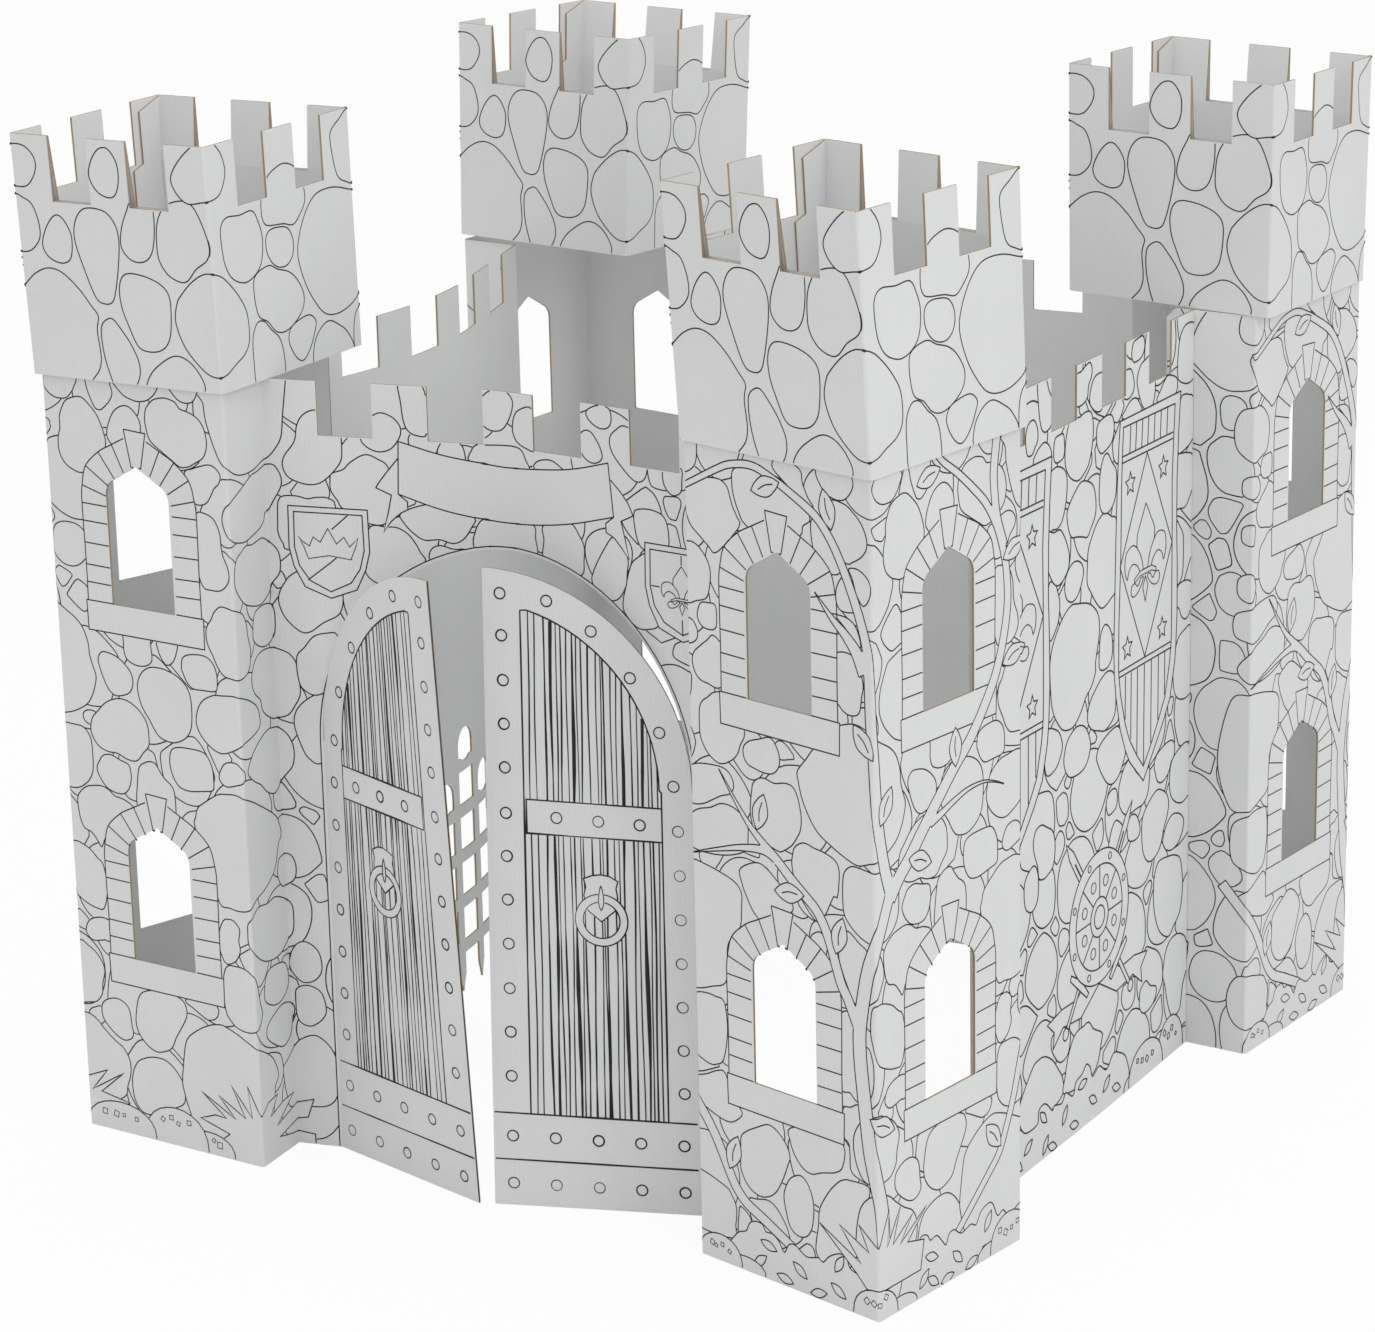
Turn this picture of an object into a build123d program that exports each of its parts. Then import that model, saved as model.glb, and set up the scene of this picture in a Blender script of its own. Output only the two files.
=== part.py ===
from build123d import *
import math
import os

# Toy castle of folded corrugated card, in millimetres, +Z up and the door side towards -Y.
# Two sheets of one layout stand on edge: each makes two corner towers and two walls.
# Four crenellated caps are folded tubes that stand on the tops of the towers.

# Board and folds
BOARD = 3.0
FOLD_OUTSIDE = 4.0
FOLD_INSIDE = 1.0
WALL_FOLD = 60.0

# Sheets
TOWER_FACE = 320.0
RETURN = 98.5
FLANGE = 44.0
WALL_TOP = 1110.0
GAP_DEPTH = 75.0
WALL_DIVISIONS = 9
FLANGE_CHAMFER = 15.0
TONGUE_RISE = 12.0
TONGUE_START = 14.0
TONGUE_END = 288.0

# Windows with pointed tops: sill, shoulder and apex heights of the two rows
WINDOW_WIDTH = 111.0
WINDOW_CENTRE = 160.0
WINDOW_SHOULDER_RADIUS = 24.0
UPPER_WINDOW = (789.6, 960.0, 991.0)
LOWER_WINDOW = (270.4, 444.0, 475.0)

# Doorway and its two leaves, which are folded out of the front wall; each leaf's free edge
# leans, so it has one heading at the foot and another at the arch
DOOR_RADIUS = 290.0
DOOR_CENTRE = 357.0
DOOR_SPRING = 603.0
LEAF_WIDTH = 289.0
LEFT_LEAF_BOTTOM = -13.4
LEFT_LEAF_TOP = -22.7
RIGHT_LEAF_BOTTOM = 201.0
RIGHT_LEAF_TOP = 193.0
LEAF_CUT = 1.5

# Barred gate cut in the left wall: the middle column is one row taller, the foot is open
BAR_PITCH = 72.0
BAR_WIDTH = 20.0
GATE_COLUMNS = 3
GATE_ROWS = 5
GATE_CENTRE = 357.0
GATE_FIRST_ROW = 102.0
GATE_ARCH_SIDE = 21.0
SPIKE_TIP = 20.0
SPIKE_SHOULDER = 50.0

# Joints between the sheets: tabs on the wall ends go through slots in the flanges
TAB_HEIGHTS = ((910.0, 1004.0), (505.0, 599.0), (100.0, 194.0))
TAB_REACH = 16.0
TAB_GAP = 0.3
SLOT_PLAY = 0.6

# Caps, which slip over the tower faces
CAP_CLEARANCE = 1.4
CAP_WIDTH = TOWER_FACE + 2 * BOARD + CAP_CLEARANCE
CAP_HEIGHT = 330.6
CAP_FLARE = 0.015
CAP_DIVISIONS = 5
CAP_GAP_DEPTH = 89.0
CAP_FOLD_OUTSIDE = 4.0
CAP_FOLD_INSIDE = 1.0
LINING_TOP = 1.4
LINING_OFFSET = 7.5
LINING_FOOT = 60.0
FLAP_NARROW = 49.5
FLAP_WIDE = 72.0
FLAP_SLOPE = 0.33
FLAP_FOOT = 60.0

# How far a cutter stands out of what it cuts, and the flats it follows a curved wall with
CLEAR = 12.0
WALL_STEPS = 6

# Each tower: outer corner, then headings of the front or rear face, the side face,
# the return behind the first and the return behind the second
TOWERS = {
    "front_left": ((-38.0, -19.0), -1.2, 73.4, 97.1, 17.8),
    "front_right": ((1281.0, -39.0), 167.2, 83.7, 86.2, 158.6),
    "rear_right": ((1312.0, 1345.0), 176.8, -93.0, -96.1, 178.3),
    "rear_left": ((-43.0, 1334.0), -9.3, -92.3, -89.7, -2.9),
}

# Each wall: its bends as (share of the chord, offset to the left, radius)
FRONT_BENDS = ((0.442, 52.9, WALL_FOLD), (0.508, 51.8, WALL_FOLD))
RIGHT_BENDS = ((0.6, -3.0, 4000.0),)
REAR_BENDS = ((0.111, -3.5, 900.0), (0.5, -8.0, 2500.0))
LEFT_BENDS = ((0.626, 80.4, 750.0),)

# Each cap: corner over the tower's outer corner, height of that corner over the wall top,
# headings of its two edges, their slopes, and the lean of its axis
CAPS = {
    "front_left": ((-41.3, -29.5), -4.4, -0.12, 91.88, 0.012, 0.011, -0.03, -0.008),
    "front_right": ((1283.8, -44.7), -1.2, 167.14, 82.6, 0.004, 0.014, -0.023, -0.042),
    "rear_right": ((1315.5, 1348.7), -5.0, 175.89, -89.97, 0.021, 0.015, 0.024, -0.038),
    "rear_left": ((-48.8, 1338.3), 3.0, -4.58, -91.87, -0.011, 0.018, 0.04, 0.004),
}


def heading(degrees):
    """Unit vector in plan."""
    return Vector(math.cos(math.radians(degrees)), math.sin(math.radians(degrees)), 0)


def left_of(direction):
    """The plan direction a quarter turn to the left."""
    return Vector(-direction.Y, direction.X, 0)


def tower_points(name):
    """Plan points of a tower on its printed face."""
    corner, face, side, face_return, side_return = TOWERS[name]
    c = Vector(corner[0], corner[1], 0)
    fe = c + heading(face) * TOWER_FACE
    se = c + heading(side) * TOWER_FACE
    fr = fe + heading(face_return) * RETURN
    sr = se + heading(side_return) * RETURN
    fl = sr + heading(side_return) * FLANGE
    return {"c": c, "fe": fe, "se": se, "fr": fr, "sr": sr, "fl": fl}


def wall_points(start, end, bends):
    """Bend points of a wall between two fold points, with their radii."""
    chord = end - start
    side = left_of(chord.normalized())
    return [(start + chord * share + side * offset, radius) for share, offset, radius in bends]


def mitre_offset(points, distance):
    """The polyline moved to its left by a distance, with mitred corners."""
    moved = []
    for i, point in enumerate(points):
        before = points[i] - points[i - 1] if i > 0 else points[1] - points[0]
        after = points[i + 1] - points[i] if i + 1 < len(points) else before
        n1 = left_of(before.normalized())
        n2 = left_of(after.normalized())
        bisector = (n1 + n2).normalized()
        moved.append(point + bisector * (distance / bisector.dot(n1)))
    return moved


def turn_sign(points, i):
    """Positive where the polyline turns left at point i."""
    a = points[i] - points[i - 1]
    b = points[i + 1] - points[i]
    return a.X * b.Y - a.Y * b.X


def band(points, radii):
    """Board section between a printed line and its parallel, as a face."""
    inner = mitre_offset(points, BOARD)
    outer_radii = []
    inner_radii = []
    for i in range(1, len(points) - 1):
        radius = radii[i]
        turn = turn_sign(points, i)
        if radius is None:
            outer_radii.append(FOLD_OUTSIDE if turn > 0 else FOLD_INSIDE)
            inner_radii.append(FOLD_INSIDE if turn > 0 else FOLD_OUTSIDE)
        else:
            outer_radii.append(radius)
            inner_radii.append(radius - BOARD if turn > 0 else radius + BOARD)
    outside = FilletPolyline(*points, radius=outer_radii)
    inside = FilletPolyline(*inner, radius=inner_radii)
    ends = [Line(points[0], inner[0]), Line(points[-1], inner[-1])]
    return make_face([*outside.edges(), *inside.edges(), *ends])


def printed_line(points, radii):
    """Printed line of one wall as a wire, for placing cuts by distance."""
    inner = [radii[i] if radii[i] else FOLD_INSIDE for i in range(1, len(points) - 1)]
    return FilletPolyline(*points, radius=inner)


def strip(line, s0, s1, z0, z1):
    """Cutter that follows a line from s0 to s1 and stands out on both sides of the board."""
    at = [s0 + (s1 - s0) * i / WALL_STEPS for i in range(WALL_STEPS + 1)]
    spots = [line.position_at(s, position_mode=PositionMode.LENGTH) for s in at]
    ways = [left_of(line.tangent_at(s, position_mode=PositionMode.LENGTH)) for s in at]
    left = [p + w * (BOARD + CLEAR) for p, w in zip(spots, ways)]
    right = [p - w * CLEAR for p, w in zip(spots, ways)]
    face = make_face(Polyline(*left, *reversed(right), close=True))
    return Pos(0, 0, z0) * extrude(face, z1 - z0)


def panel_plane(origin, direction):
    """Plane of a printed face: x along the panel, y up, z to the outside."""
    return Plane(origin=origin, x_dir=direction, z_dir=-left_of(direction))


def face_plane(corner, along):
    """Plane of a face that starts at a corner: x along the face, y up."""
    return Plane(origin=corner, x_dir=along, z_dir=along.cross(Vector(0, 0, 1)))


def panel_cut(plane, shape):
    """Cutter through a panel from a shape drawn on its plane."""
    return extrude(plane * shape, amount=CLEAR, both=True)


def window_shape(row):
    """Window opening with a pointed top and rounded shoulders."""
    sill, shoulder, apex = row
    half = WINDOW_WIDTH / 2
    x0 = WINDOW_CENTRE - half
    x1 = WINDOW_CENTRE + half
    corners = ((x0, sill), (x1, sill), (x1, shoulder), (WINDOW_CENTRE, apex), (x0, shoulder))
    shape = make_face(Polyline(*corners, close=True))
    return fillet(shape.vertices().sort_by(Axis.Y)[2:4], radius=WINDOW_SHOULDER_RADIUS)


def tower_windows(points):
    """Window cutters of the two outer faces of a tower."""
    cuts = []
    for end in ("fe", "se"):
        along = (points[end] - points["c"]).normalized()
        plane = face_plane(points["c"], along)
        for row in (UPPER_WINDOW, LOWER_WINDOW):
            cuts.append(panel_cut(plane, window_shape(row)))
    return cuts


def tongue(start, end):
    """Strip that stands over the wall top on a tower face, inside the cap."""
    along = (end - start).normalized()
    inward = left_of(along)
    a = start + along * TONGUE_START
    b = start + along * TONGUE_END
    face = make_face(Polyline(a, b, b + inward * BOARD, a + inward * BOARD, close=True))
    return Pos(0, 0, WALL_TOP - BOARD) * extrude(face, TONGUE_RISE + BOARD)


def wall_gaps(line):
    """Cutters of the crenels of a wall."""
    step = line.length / WALL_DIVISIONS
    base = WALL_TOP - GAP_DEPTH
    return [strip(line, step * i, step * (i + 1), base, WALL_TOP + BOARD) for i in range(1, WALL_DIVISIONS, 2)]


def door_shape():
    """Doorway outline in distance along the wall and height."""
    jambs = Rectangle(2 * DOOR_RADIUS, DOOR_SPRING + CLEAR, align=(Align.CENTER, Align.MAX))
    return Pos(DOOR_CENTRE, DOOR_SPRING) * (jambs + Circle(DOOR_RADIUS))


def doorway_cuts(corners):
    """Doorway cutters, one for each flat length of the front wall."""
    cuts = []
    run = 0.0
    for a, b in zip(corners, corners[1:]):
        along = (b - a).normalized()
        length = (b - a).length
        window = Pos(run + length / 2, 0) * Rectangle(length + 1, 2 * WALL_TOP)
        piece = Pos(-run, 0) * (door_shape() & window)
        cuts.append(panel_cut(panel_plane(a, along), piece))
        run += length
    return cuts


def leaf_section(hinge, wall_way, leaf_way, side, z):
    """Plan section of a leaf at one height, with the fold that joins it to the wall."""
    wall_in = left_of(wall_way)
    leaf_in = left_of(leaf_way) * side
    back = -wall_way * (side * BOARD)
    free = hinge + leaf_way * LEAF_WIDTH
    spots = [hinge + back, hinge, free, free + leaf_in * BOARD, hinge + leaf_in * BOARD,
             hinge + wall_in * BOARD, hinge + back + wall_in * BOARD]
    return make_face(Polyline(*[p + Vector(0, 0, z) for p in spots], close=True))


def leaf(hinge, wall_way, bottom, top, side):
    """Door leaf as a ruled plate, trimmed to the arch. side is 1 for the left leaf, -1 for the right."""
    height = DOOR_SPRING + DOOR_RADIUS
    low = leaf_section(hinge, wall_way, heading(bottom), side, 0)
    high = leaf_section(hinge, wall_way, heading(top), side, height)
    plate = loft([low, high], ruled=True)
    middle = heading((bottom + top) / 2)
    plane = face_plane(hinge, middle)
    over = Pos(0, height) * Rectangle(2 * LEAF_WIDTH + CLEAR, 2 * DOOR_RADIUS)
    corner = over - Pos(DOOR_RADIUS, DOOR_SPRING) * Circle(DOOR_RADIUS - LEAF_CUT)
    return plate - extrude(plane * corner, amount=LEAF_WIDTH / 2, both=True)


def gate_foot(spike_left, spike_right):
    """Open foot of one gate column, cut round half a spike on each side that has one."""
    half = (BAR_PITCH - BAR_WIDTH) / 2
    middle = BAR_PITCH / 2 + BOARD / 6
    top = GATE_FIRST_ROW - BAR_WIDTH
    spike = [(middle, -BOARD), (middle, SPIKE_TIP), (half, SPIKE_SHOULDER)]
    jamb = [(half, -BOARD)]
    left = [(-x, z) for x, z in (spike if spike_left else jamb)]
    right = list(reversed(spike if spike_right else jamb))
    return make_face(Polyline(*left, (-half, top), (half, top), *right, close=True))


def gate_cuts(line):
    """Openings of the barred gate: rows of cells with an arched top row, and the open foot."""
    cuts = []
    opening = BAR_PITCH - BAR_WIDTH
    for column in range(GATE_COLUMNS):
        offset = column - (GATE_COLUMNS - 1) / 2
        s = GATE_CENTRE + offset * BAR_PITCH
        spot = line.position_at(s, position_mode=PositionMode.LENGTH)
        way = line.tangent_at(s, position_mode=PositionMode.LENGTH)
        plane = panel_plane(spot, way)
        rows = GATE_ROWS - round(abs(offset))
        cuts.append(panel_cut(plane, gate_foot(column > 0, column < GATE_COLUMNS - 1)))
        for row in range(rows):
            z = GATE_FIRST_ROW + row * BAR_PITCH
            height = opening if row < rows - 1 else GATE_ARCH_SIDE
            cell = Pos(0, z + height / 2) * Rectangle(opening, height)
            if row == rows - 1:
                cell += Pos(0, z + height) * Circle(opening / 2)
            cuts.append(panel_cut(plane, cell))
    return cuts


def tabs(line, play):
    """Tabs on the far end of a wall; with play, the slots that take them."""
    end = line.position_at(line.length, position_mode=PositionMode.LENGTH)
    way = line.tangent_at(line.length, position_mode=PositionMode.LENGTH)
    side = left_of(way)
    a = end - way * BOARD - side * play
    b = end + way * (TAB_REACH + play) - side * play
    across = side * (BOARD + 2 * play)
    face = make_face(Polyline(a, b, b + across, a + across, close=True))
    return [Pos(0, 0, z0 - play) * extrude(face, z1 - z0 + 2 * play) for z0, z1 in TAB_HEIGHTS]


def flange_corner(points):
    """Cutter of the flange's chamfered top corner."""
    along = (points["fl"] - points["sr"]).normalized()
    c = FLANGE_CHAMFER
    over = WALL_TOP + BOARD
    spots = [(-c, over), (BOARD, over), (BOARD, WALL_TOP - c), (0, WALL_TOP - c), (-c, WALL_TOP)]
    return panel_cut(face_plane(points["fl"], along), make_face(Polyline(*spots, close=True)))


def wall_end(start, end, bends, panel_start):
    """End point of a wall, stopped short of the panel it meets."""
    last = wall_points(start, end, bends)[-1][0]
    way = (end - last).normalized()
    normal = left_of((end - panel_start).normalized())
    slant = abs(way.dot(normal))
    lean = math.sqrt(1 - slant * slant)
    return end - way * ((TAB_GAP + BOARD * lean) / slant)


def sheet_layout(first, second, bends_one, bends_two, last):
    """Plan of one sheet: its points, radii and the points of its two walls."""
    a = tower_points(first)
    b = tower_points(second)
    c = tower_points(last)
    wall_one = wall_points(a["fr"], b["fr"], bends_one)
    stop = wall_end(b["sr"], c["sr"], bends_two, c["se"])
    wall_two = wall_points(b["sr"], c["sr"], bends_two)
    points = [a["fl"], a["se"], a["c"], a["fe"], a["fr"]]
    radii = [None] * 5
    points += [p for p, _ in wall_one]
    radii += [r for _, r in wall_one]
    points += [b["fr"], b["fe"], b["c"], b["se"], b["sr"]]
    radii += [None] * 5
    points += [p for p, _ in wall_two] + [stop]
    radii += [r for _, r in wall_two] + [None]
    one = ([a["fr"]] + [p for p, _ in wall_one] + [b["fr"]], [None] + [r for _, r in wall_one] + [None])
    two = ([b["sr"]] + [p for p, _ in wall_two] + [stop], [None] + [r for _, r in wall_two] + [None])
    return points, radii, one, two, a, b


def sheet(layout, slots):
    """One sheet, folded and standing on edge, with its windows, crenels, tabs and slots."""
    points, radii, one, two, a, b = layout
    body = extrude(band(points, radii), WALL_TOP)
    for start, end in ((a["se"], a["c"]), (a["c"], a["fe"]), (b["fe"], b["c"]), (b["c"], b["se"])):
        body += tongue(start, end)
    line_one = printed_line(*one)
    line_two = printed_line(*two)
    for piece in tabs(line_two, 0.0):
        body += piece
    cuts = wall_gaps(line_one) + wall_gaps(line_two) + tower_windows(a) + tower_windows(b)
    cuts += slots + [flange_corner(a)]
    return body, cuts, line_two


def front_sheet(layout, slots):
    """Sheet with the front and right walls, and the doorway with its two leaves ajar."""
    body, cuts, _ = sheet(layout, slots)
    corners = layout[2][0]
    cuts += doorway_cuts(corners)
    body = body - cuts
    left_way = (corners[1] - corners[0]).normalized()
    right_way = (corners[-1] - corners[-2]).normalized()
    left_hinge = corners[0] + left_way * (DOOR_CENTRE - DOOR_RADIUS)
    run = sum((q - p).length for p, q in zip(corners, corners[1:]))
    right_hinge = corners[-1] - right_way * (run - DOOR_CENTRE - DOOR_RADIUS)
    body += leaf(left_hinge, left_way, LEFT_LEAF_BOTTOM, LEFT_LEAF_TOP, 1)
    body += leaf(right_hinge, right_way, RIGHT_LEAF_BOTTOM, RIGHT_LEAF_TOP, -1)
    return body


def rear_sheet(layout, slots):
    """Sheet with the rear and left walls, and the barred gate."""
    body, cuts, line_two = sheet(layout, slots)
    return body - (cuts + gate_cuts(line_two))


def affine_block(origin, u, v, k, u_range, v_range, k_range, grow=0.0):
    """Block with six flat sides in a skew frame; its top is larger by the share grow."""
    faces = []
    for t in k_range:
        centre = origin + u * (CAP_WIDTH / 2) + v * (CAP_WIDTH / 2)
        scale = 1 + grow * t / CAP_HEIGHT
        spots = []
        for a, b in ((0, 0), (1, 0), (1, 1), (0, 1)):
            flat = origin + u * u_range[a] + v * v_range[b]
            spots.append(centre + (flat - centre) * scale + k * t)
        faces.append(make_face(Polyline(*spots, close=True)))
    return loft(faces, ruled=True)


def cap_frame(name):
    """Corner and the three directions of a cap."""
    corner, rise, hu, hv, tu, tv, kx, ky = CAPS[name]
    u = heading(hu) + Vector(0, 0, tu)
    v = heading(hv) + Vector(0, 0, tv)
    k = Vector(kx, ky, 1).normalized()
    return Vector(corner[0], corner[1], WALL_TOP + rise), u, v, k


def cap_lining(frame, near):
    """Fold-over lining of a face that runs along u: hangs from the top edge inside the face."""
    origin, u, v, k = frame
    gap_base = CAP_HEIGHT - CAP_GAP_DEPTH
    depths = ((CAP_HEIGHT, LINING_TOP - BOARD), (gap_base, LINING_OFFSET), (LINING_FOOT, LINING_OFFSET))
    solid = None
    for (k0, d0), (k1, d1) in zip(depths, depths[1:]):
        faces = []
        for kk, depth in ((k0, d0), (k1, d1)):
            grown = CAP_FLARE * kk / CAP_HEIGHT * CAP_WIDTH / 2
            v0 = BOARD + depth - grown
            v1 = v0 + BOARD
            if not near:
                v0, v1 = CAP_WIDTH - v1, CAP_WIDTH - v0
            u0 = BOARD / 2 - grown
            u1 = CAP_WIDTH - u0
            spots = [origin + u * a + v * b + k * kk for a, b in ((u0, v0), (u1, v0), (u1, v1), (u0, v1))]
            faces.append(make_face(Polyline(*spots, close=True)))
        piece = loft(faces, ruled=True)
        solid = piece if solid is None else solid + piece
    return solid


def cap_flap(frame, far_u, near_v):
    """Glued flap of the lining, flat on the inside of a face that runs along v."""
    origin, u, v, k = frame
    top = CAP_HEIGHT
    drop = FLAP_SLOPE * FLAP_NARROW
    step = FLAP_SLOPE * (FLAP_WIDE - FLAP_NARROW)
    upper = [(0, top), (FLAP_NARROW, top - drop), (FLAP_NARROW, top - CAP_GAP_DEPTH)]
    lower = [(FLAP_WIDE, top - CAP_GAP_DEPTH - step), (FLAP_WIDE, FLAP_FOOT + drop), (0, FLAP_FOOT)]
    faces = []
    for depth in (BOARD / 2, 2 * BOARD):
        spots = []
        for along, up in upper + lower:
            grown = CAP_FLARE * up / CAP_HEIGHT * CAP_WIDTH / 2
            a = depth - grown
            b = BOARD - grown + along
            a = CAP_WIDTH - a if far_u else a
            b = b if near_v else CAP_WIDTH - b
            spots.append(origin + u * a + v * b + k * up)
        faces.append(make_face(Polyline(*spots, close=True)))
    return loft(faces, ruled=True)


def upright_edges(block):
    """The four edges of a block that run up."""
    return block.edges().filter_by(lambda e: abs((e @ 1 - e @ 0).Z) > CAP_HEIGHT / 2)


def cap(name):
    """Crenellated cap: a folded tube, its two u faces lined by a fold-over with glued side flaps."""
    frame = cap_frame(name)
    origin, u, v, k = frame
    full = (0, CAP_HEIGHT)
    outside = affine_block(origin, u, v, k, (0, CAP_WIDTH), (0, CAP_WIDTH), full, CAP_FLARE)
    outside = fillet(upright_edges(outside), CAP_FOLD_OUTSIDE)
    room = (BOARD, CAP_WIDTH - BOARD)
    inside = affine_block(origin, u, v, k, room, room, (-BOARD, CAP_HEIGHT + BOARD), CAP_FLARE)
    body = outside - fillet(upright_edges(inside), CAP_FOLD_INSIDE)
    for near in (True, False):
        body += cap_lining(frame, near) & outside
    for far_u in (True, False):
        for near_v in (True, False):
            body += cap_flap(frame, far_u, near_v) & outside
    step = CAP_WIDTH / CAP_DIVISIONS
    high = (CAP_HEIGHT - CAP_GAP_DEPTH, CAP_HEIGHT + CLEAR)
    across = (-CLEAR, CAP_WIDTH + CLEAR)
    for i in (1, 3):
        gap = (step * i, step * (i + 1))
        body -= affine_block(origin, u, v, k, gap, across, high, CAP_FLARE)
        body -= affine_block(origin, u, v, k, across, gap, high, CAP_FLARE)
    return body


def main():
    """Builds every piece, centres the castle over the origin and writes the files."""
    os.makedirs("parts", exist_ok=True)
    front = sheet_layout("front_left", "front_right", FRONT_BENDS, RIGHT_BENDS, "rear_right")
    rear = sheet_layout("rear_right", "rear_left", REAR_BENDS, LEFT_BENDS, "front_left")
    front_slots = tabs(printed_line(*rear[3]), SLOT_PLAY)
    rear_slots = tabs(printed_line(*front[3]), SLOT_PLAY)
    pieces = {
        "front_wall_sheet": front_sheet(front, front_slots),
        "rear_wall_sheet": rear_sheet(rear, rear_slots),
    }
    for name in CAPS:
        pieces["tower_cap_" + name] = cap(name)
    box = Compound([*[s for p in pieces.values() for s in p.solids()]]).bounding_box()
    shift = Pos(-(box.min.X + box.max.X) / 2, -(box.min.Y + box.max.Y) / 2, 0)
    print("shift", shift.position)
    for name, piece in pieces.items():
        solids = piece.solids()
        print(name, len(solids), "solid, volume", round(solids[0].volume))
        export_step(shift * solids[0], "parts/" + name + ".step")


main()
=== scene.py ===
"""Dresses a play castle of folded corrugated card for a studio photograph.

The board is white with a black line print to colour in. The printed lines are thin ribbons of ink that
follow the folds of the board; each face is drawn flat, in distance along the sheet and height, and is then
folded up with it. The board's material gives its faint flutes, as a relief and as painted shade in its
colour, its fibres and the brown of its level cuts.
A thin brown skin lies on its upright cuts.
"""

from __future__ import annotations

import logging
import math
import random
from dataclasses import dataclass, field
from enum import Enum
from typing import Callable, Iterable, Sequence

import bpy
import numpy as np
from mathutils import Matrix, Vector


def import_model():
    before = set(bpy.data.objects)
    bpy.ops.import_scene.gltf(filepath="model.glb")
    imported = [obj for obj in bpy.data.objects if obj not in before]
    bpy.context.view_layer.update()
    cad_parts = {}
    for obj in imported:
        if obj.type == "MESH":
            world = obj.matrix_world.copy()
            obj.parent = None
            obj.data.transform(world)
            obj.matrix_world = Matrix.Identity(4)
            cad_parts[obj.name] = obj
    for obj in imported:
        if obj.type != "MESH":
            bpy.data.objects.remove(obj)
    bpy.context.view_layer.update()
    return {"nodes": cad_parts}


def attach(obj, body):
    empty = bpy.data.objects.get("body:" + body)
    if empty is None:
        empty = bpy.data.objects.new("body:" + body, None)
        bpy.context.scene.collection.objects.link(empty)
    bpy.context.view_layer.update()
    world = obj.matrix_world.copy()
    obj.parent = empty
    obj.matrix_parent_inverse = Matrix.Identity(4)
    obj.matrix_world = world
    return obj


log = logging.getLogger("castle")

Point = tuple[float, float]
Points = list[Point]
Triple = tuple[float, float, float]

# The row frame is in metres; every size below is in millimetres and is the part's own
MM = 0.001
ROW_SHIFT = np.array([-630.845, -655.598, 0.0])
BOARD = 3.0
WALL_TOP = 1110.0
FACE = 320.0
RETURN = 98.5
FLANGE = 44.0
GAP_DEPTH = 75.0
WALL_DIVISIONS = 9
FOLD_OUTSIDE = 4.0
FOLD_INSIDE = 1.0
TAB_GAP = 0.3
WINDOW_CENTRE = 160.0
UPPER_SILL = 789.6
LOWER_SILL = 270.4
DOOR_CENTRE = 357.0
DOOR_RADIUS = 290.0
DOOR_SPRING = 603.0
LEAF_WIDTH = 289.0
LEAF_HEIGHT = 893.0
CAP_WIDTH = 327.4
CAP_HEIGHT = 330.6
CAP_FLARE = 0.015
CAP_GAP_DEPTH = 89.0
GATE_CENTRE = 357.0
BAR_PITCH = 72.0

# Widths of the printed lines, and how far ink stands off where the board bends most
LINE = 1.85
FINE_LINE = 1.5
DETAIL_LINE = 1.4
HAIR_LINE = 1.3
RAISED = 0.45

# How closely lines are followed, how far the drawing's outside reaches, and where plants are cut off
LINE_STEP = 2.0
LINE_TOLERANCE = 0.12
NEARLY_ZERO = 1e-9
SAME_PLACE = 1e-6
FAR = 600.0
UNDERGROUND = -30


class Corner(Enum):
    """The four towers, by where they stand seen from the doorway."""

    FRONT_LEFT = "front_left"
    FRONT_RIGHT = "front_right"
    REAR_RIGHT = "rear_right"
    REAR_LEFT = "rear_left"


# Plan corner, then headings of the two outer faces and of the two returns behind them
TOWERS: dict[Corner, tuple[Point, float, float, float, float]] = {
    Corner.FRONT_LEFT: ((-38.0, -19.0), -1.2, 73.4, 97.1, 17.8),
    Corner.FRONT_RIGHT: ((1281.0, -39.0), 167.2, 83.7, 86.2, 158.6),
    Corner.REAR_RIGHT: ((1312.0, 1345.0), 176.8, -93.0, -96.1, 178.3),
    Corner.REAR_LEFT: ((-43.0, 1334.0), -9.3, -92.3, -89.7, -2.9),
}

# Corner, rise over the wall top, headings of the two edges, their slopes and the lean of the axis
CAPS: dict[Corner, tuple[Point, float, float, float, float, float, float, float]] = {
    Corner.FRONT_LEFT: ((-41.3, -29.5), -4.4, -0.12, 91.88, 0.012, 0.011, -0.03, -0.008),
    Corner.FRONT_RIGHT: ((1283.8, -44.7), -1.2, 167.14, 82.6, 0.004, 0.014, -0.023, -0.042),
    Corner.REAR_RIGHT: ((1315.5, 1348.7), -5.0, 175.89, -89.97, 0.021, 0.015, 0.024, -0.038),
    Corner.REAR_LEFT: ((-48.8, 1338.3), 3.0, -4.58, -91.87, -0.011, 0.018, 0.04, 0.004),
}


def heading(degrees: float) -> np.ndarray:
    """Unit vector in plan."""
    return np.array([math.cos(math.radians(degrees)), math.sin(math.radians(degrees))])


def left_of(way: np.ndarray) -> np.ndarray:
    """The plan direction a quarter turn to the left."""
    return np.array([-way[1], way[0]])


def unit(vector: np.ndarray) -> np.ndarray:
    """The vector at length one."""
    return vector / np.linalg.norm(vector)


def trace(text: str) -> Points:
    """Points from a compact list such as '10,20 30,40'."""
    return [(float(a), float(b)) for a, b in (pair.split(",") for pair in text.split())]


def outlines(text: str) -> list[Points]:
    """Outlines from a list that has a semicolon between each and the next."""
    return [trace(row) for row in text.split(";")]


# Skins: from the flat drawing to the folded board


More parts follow.
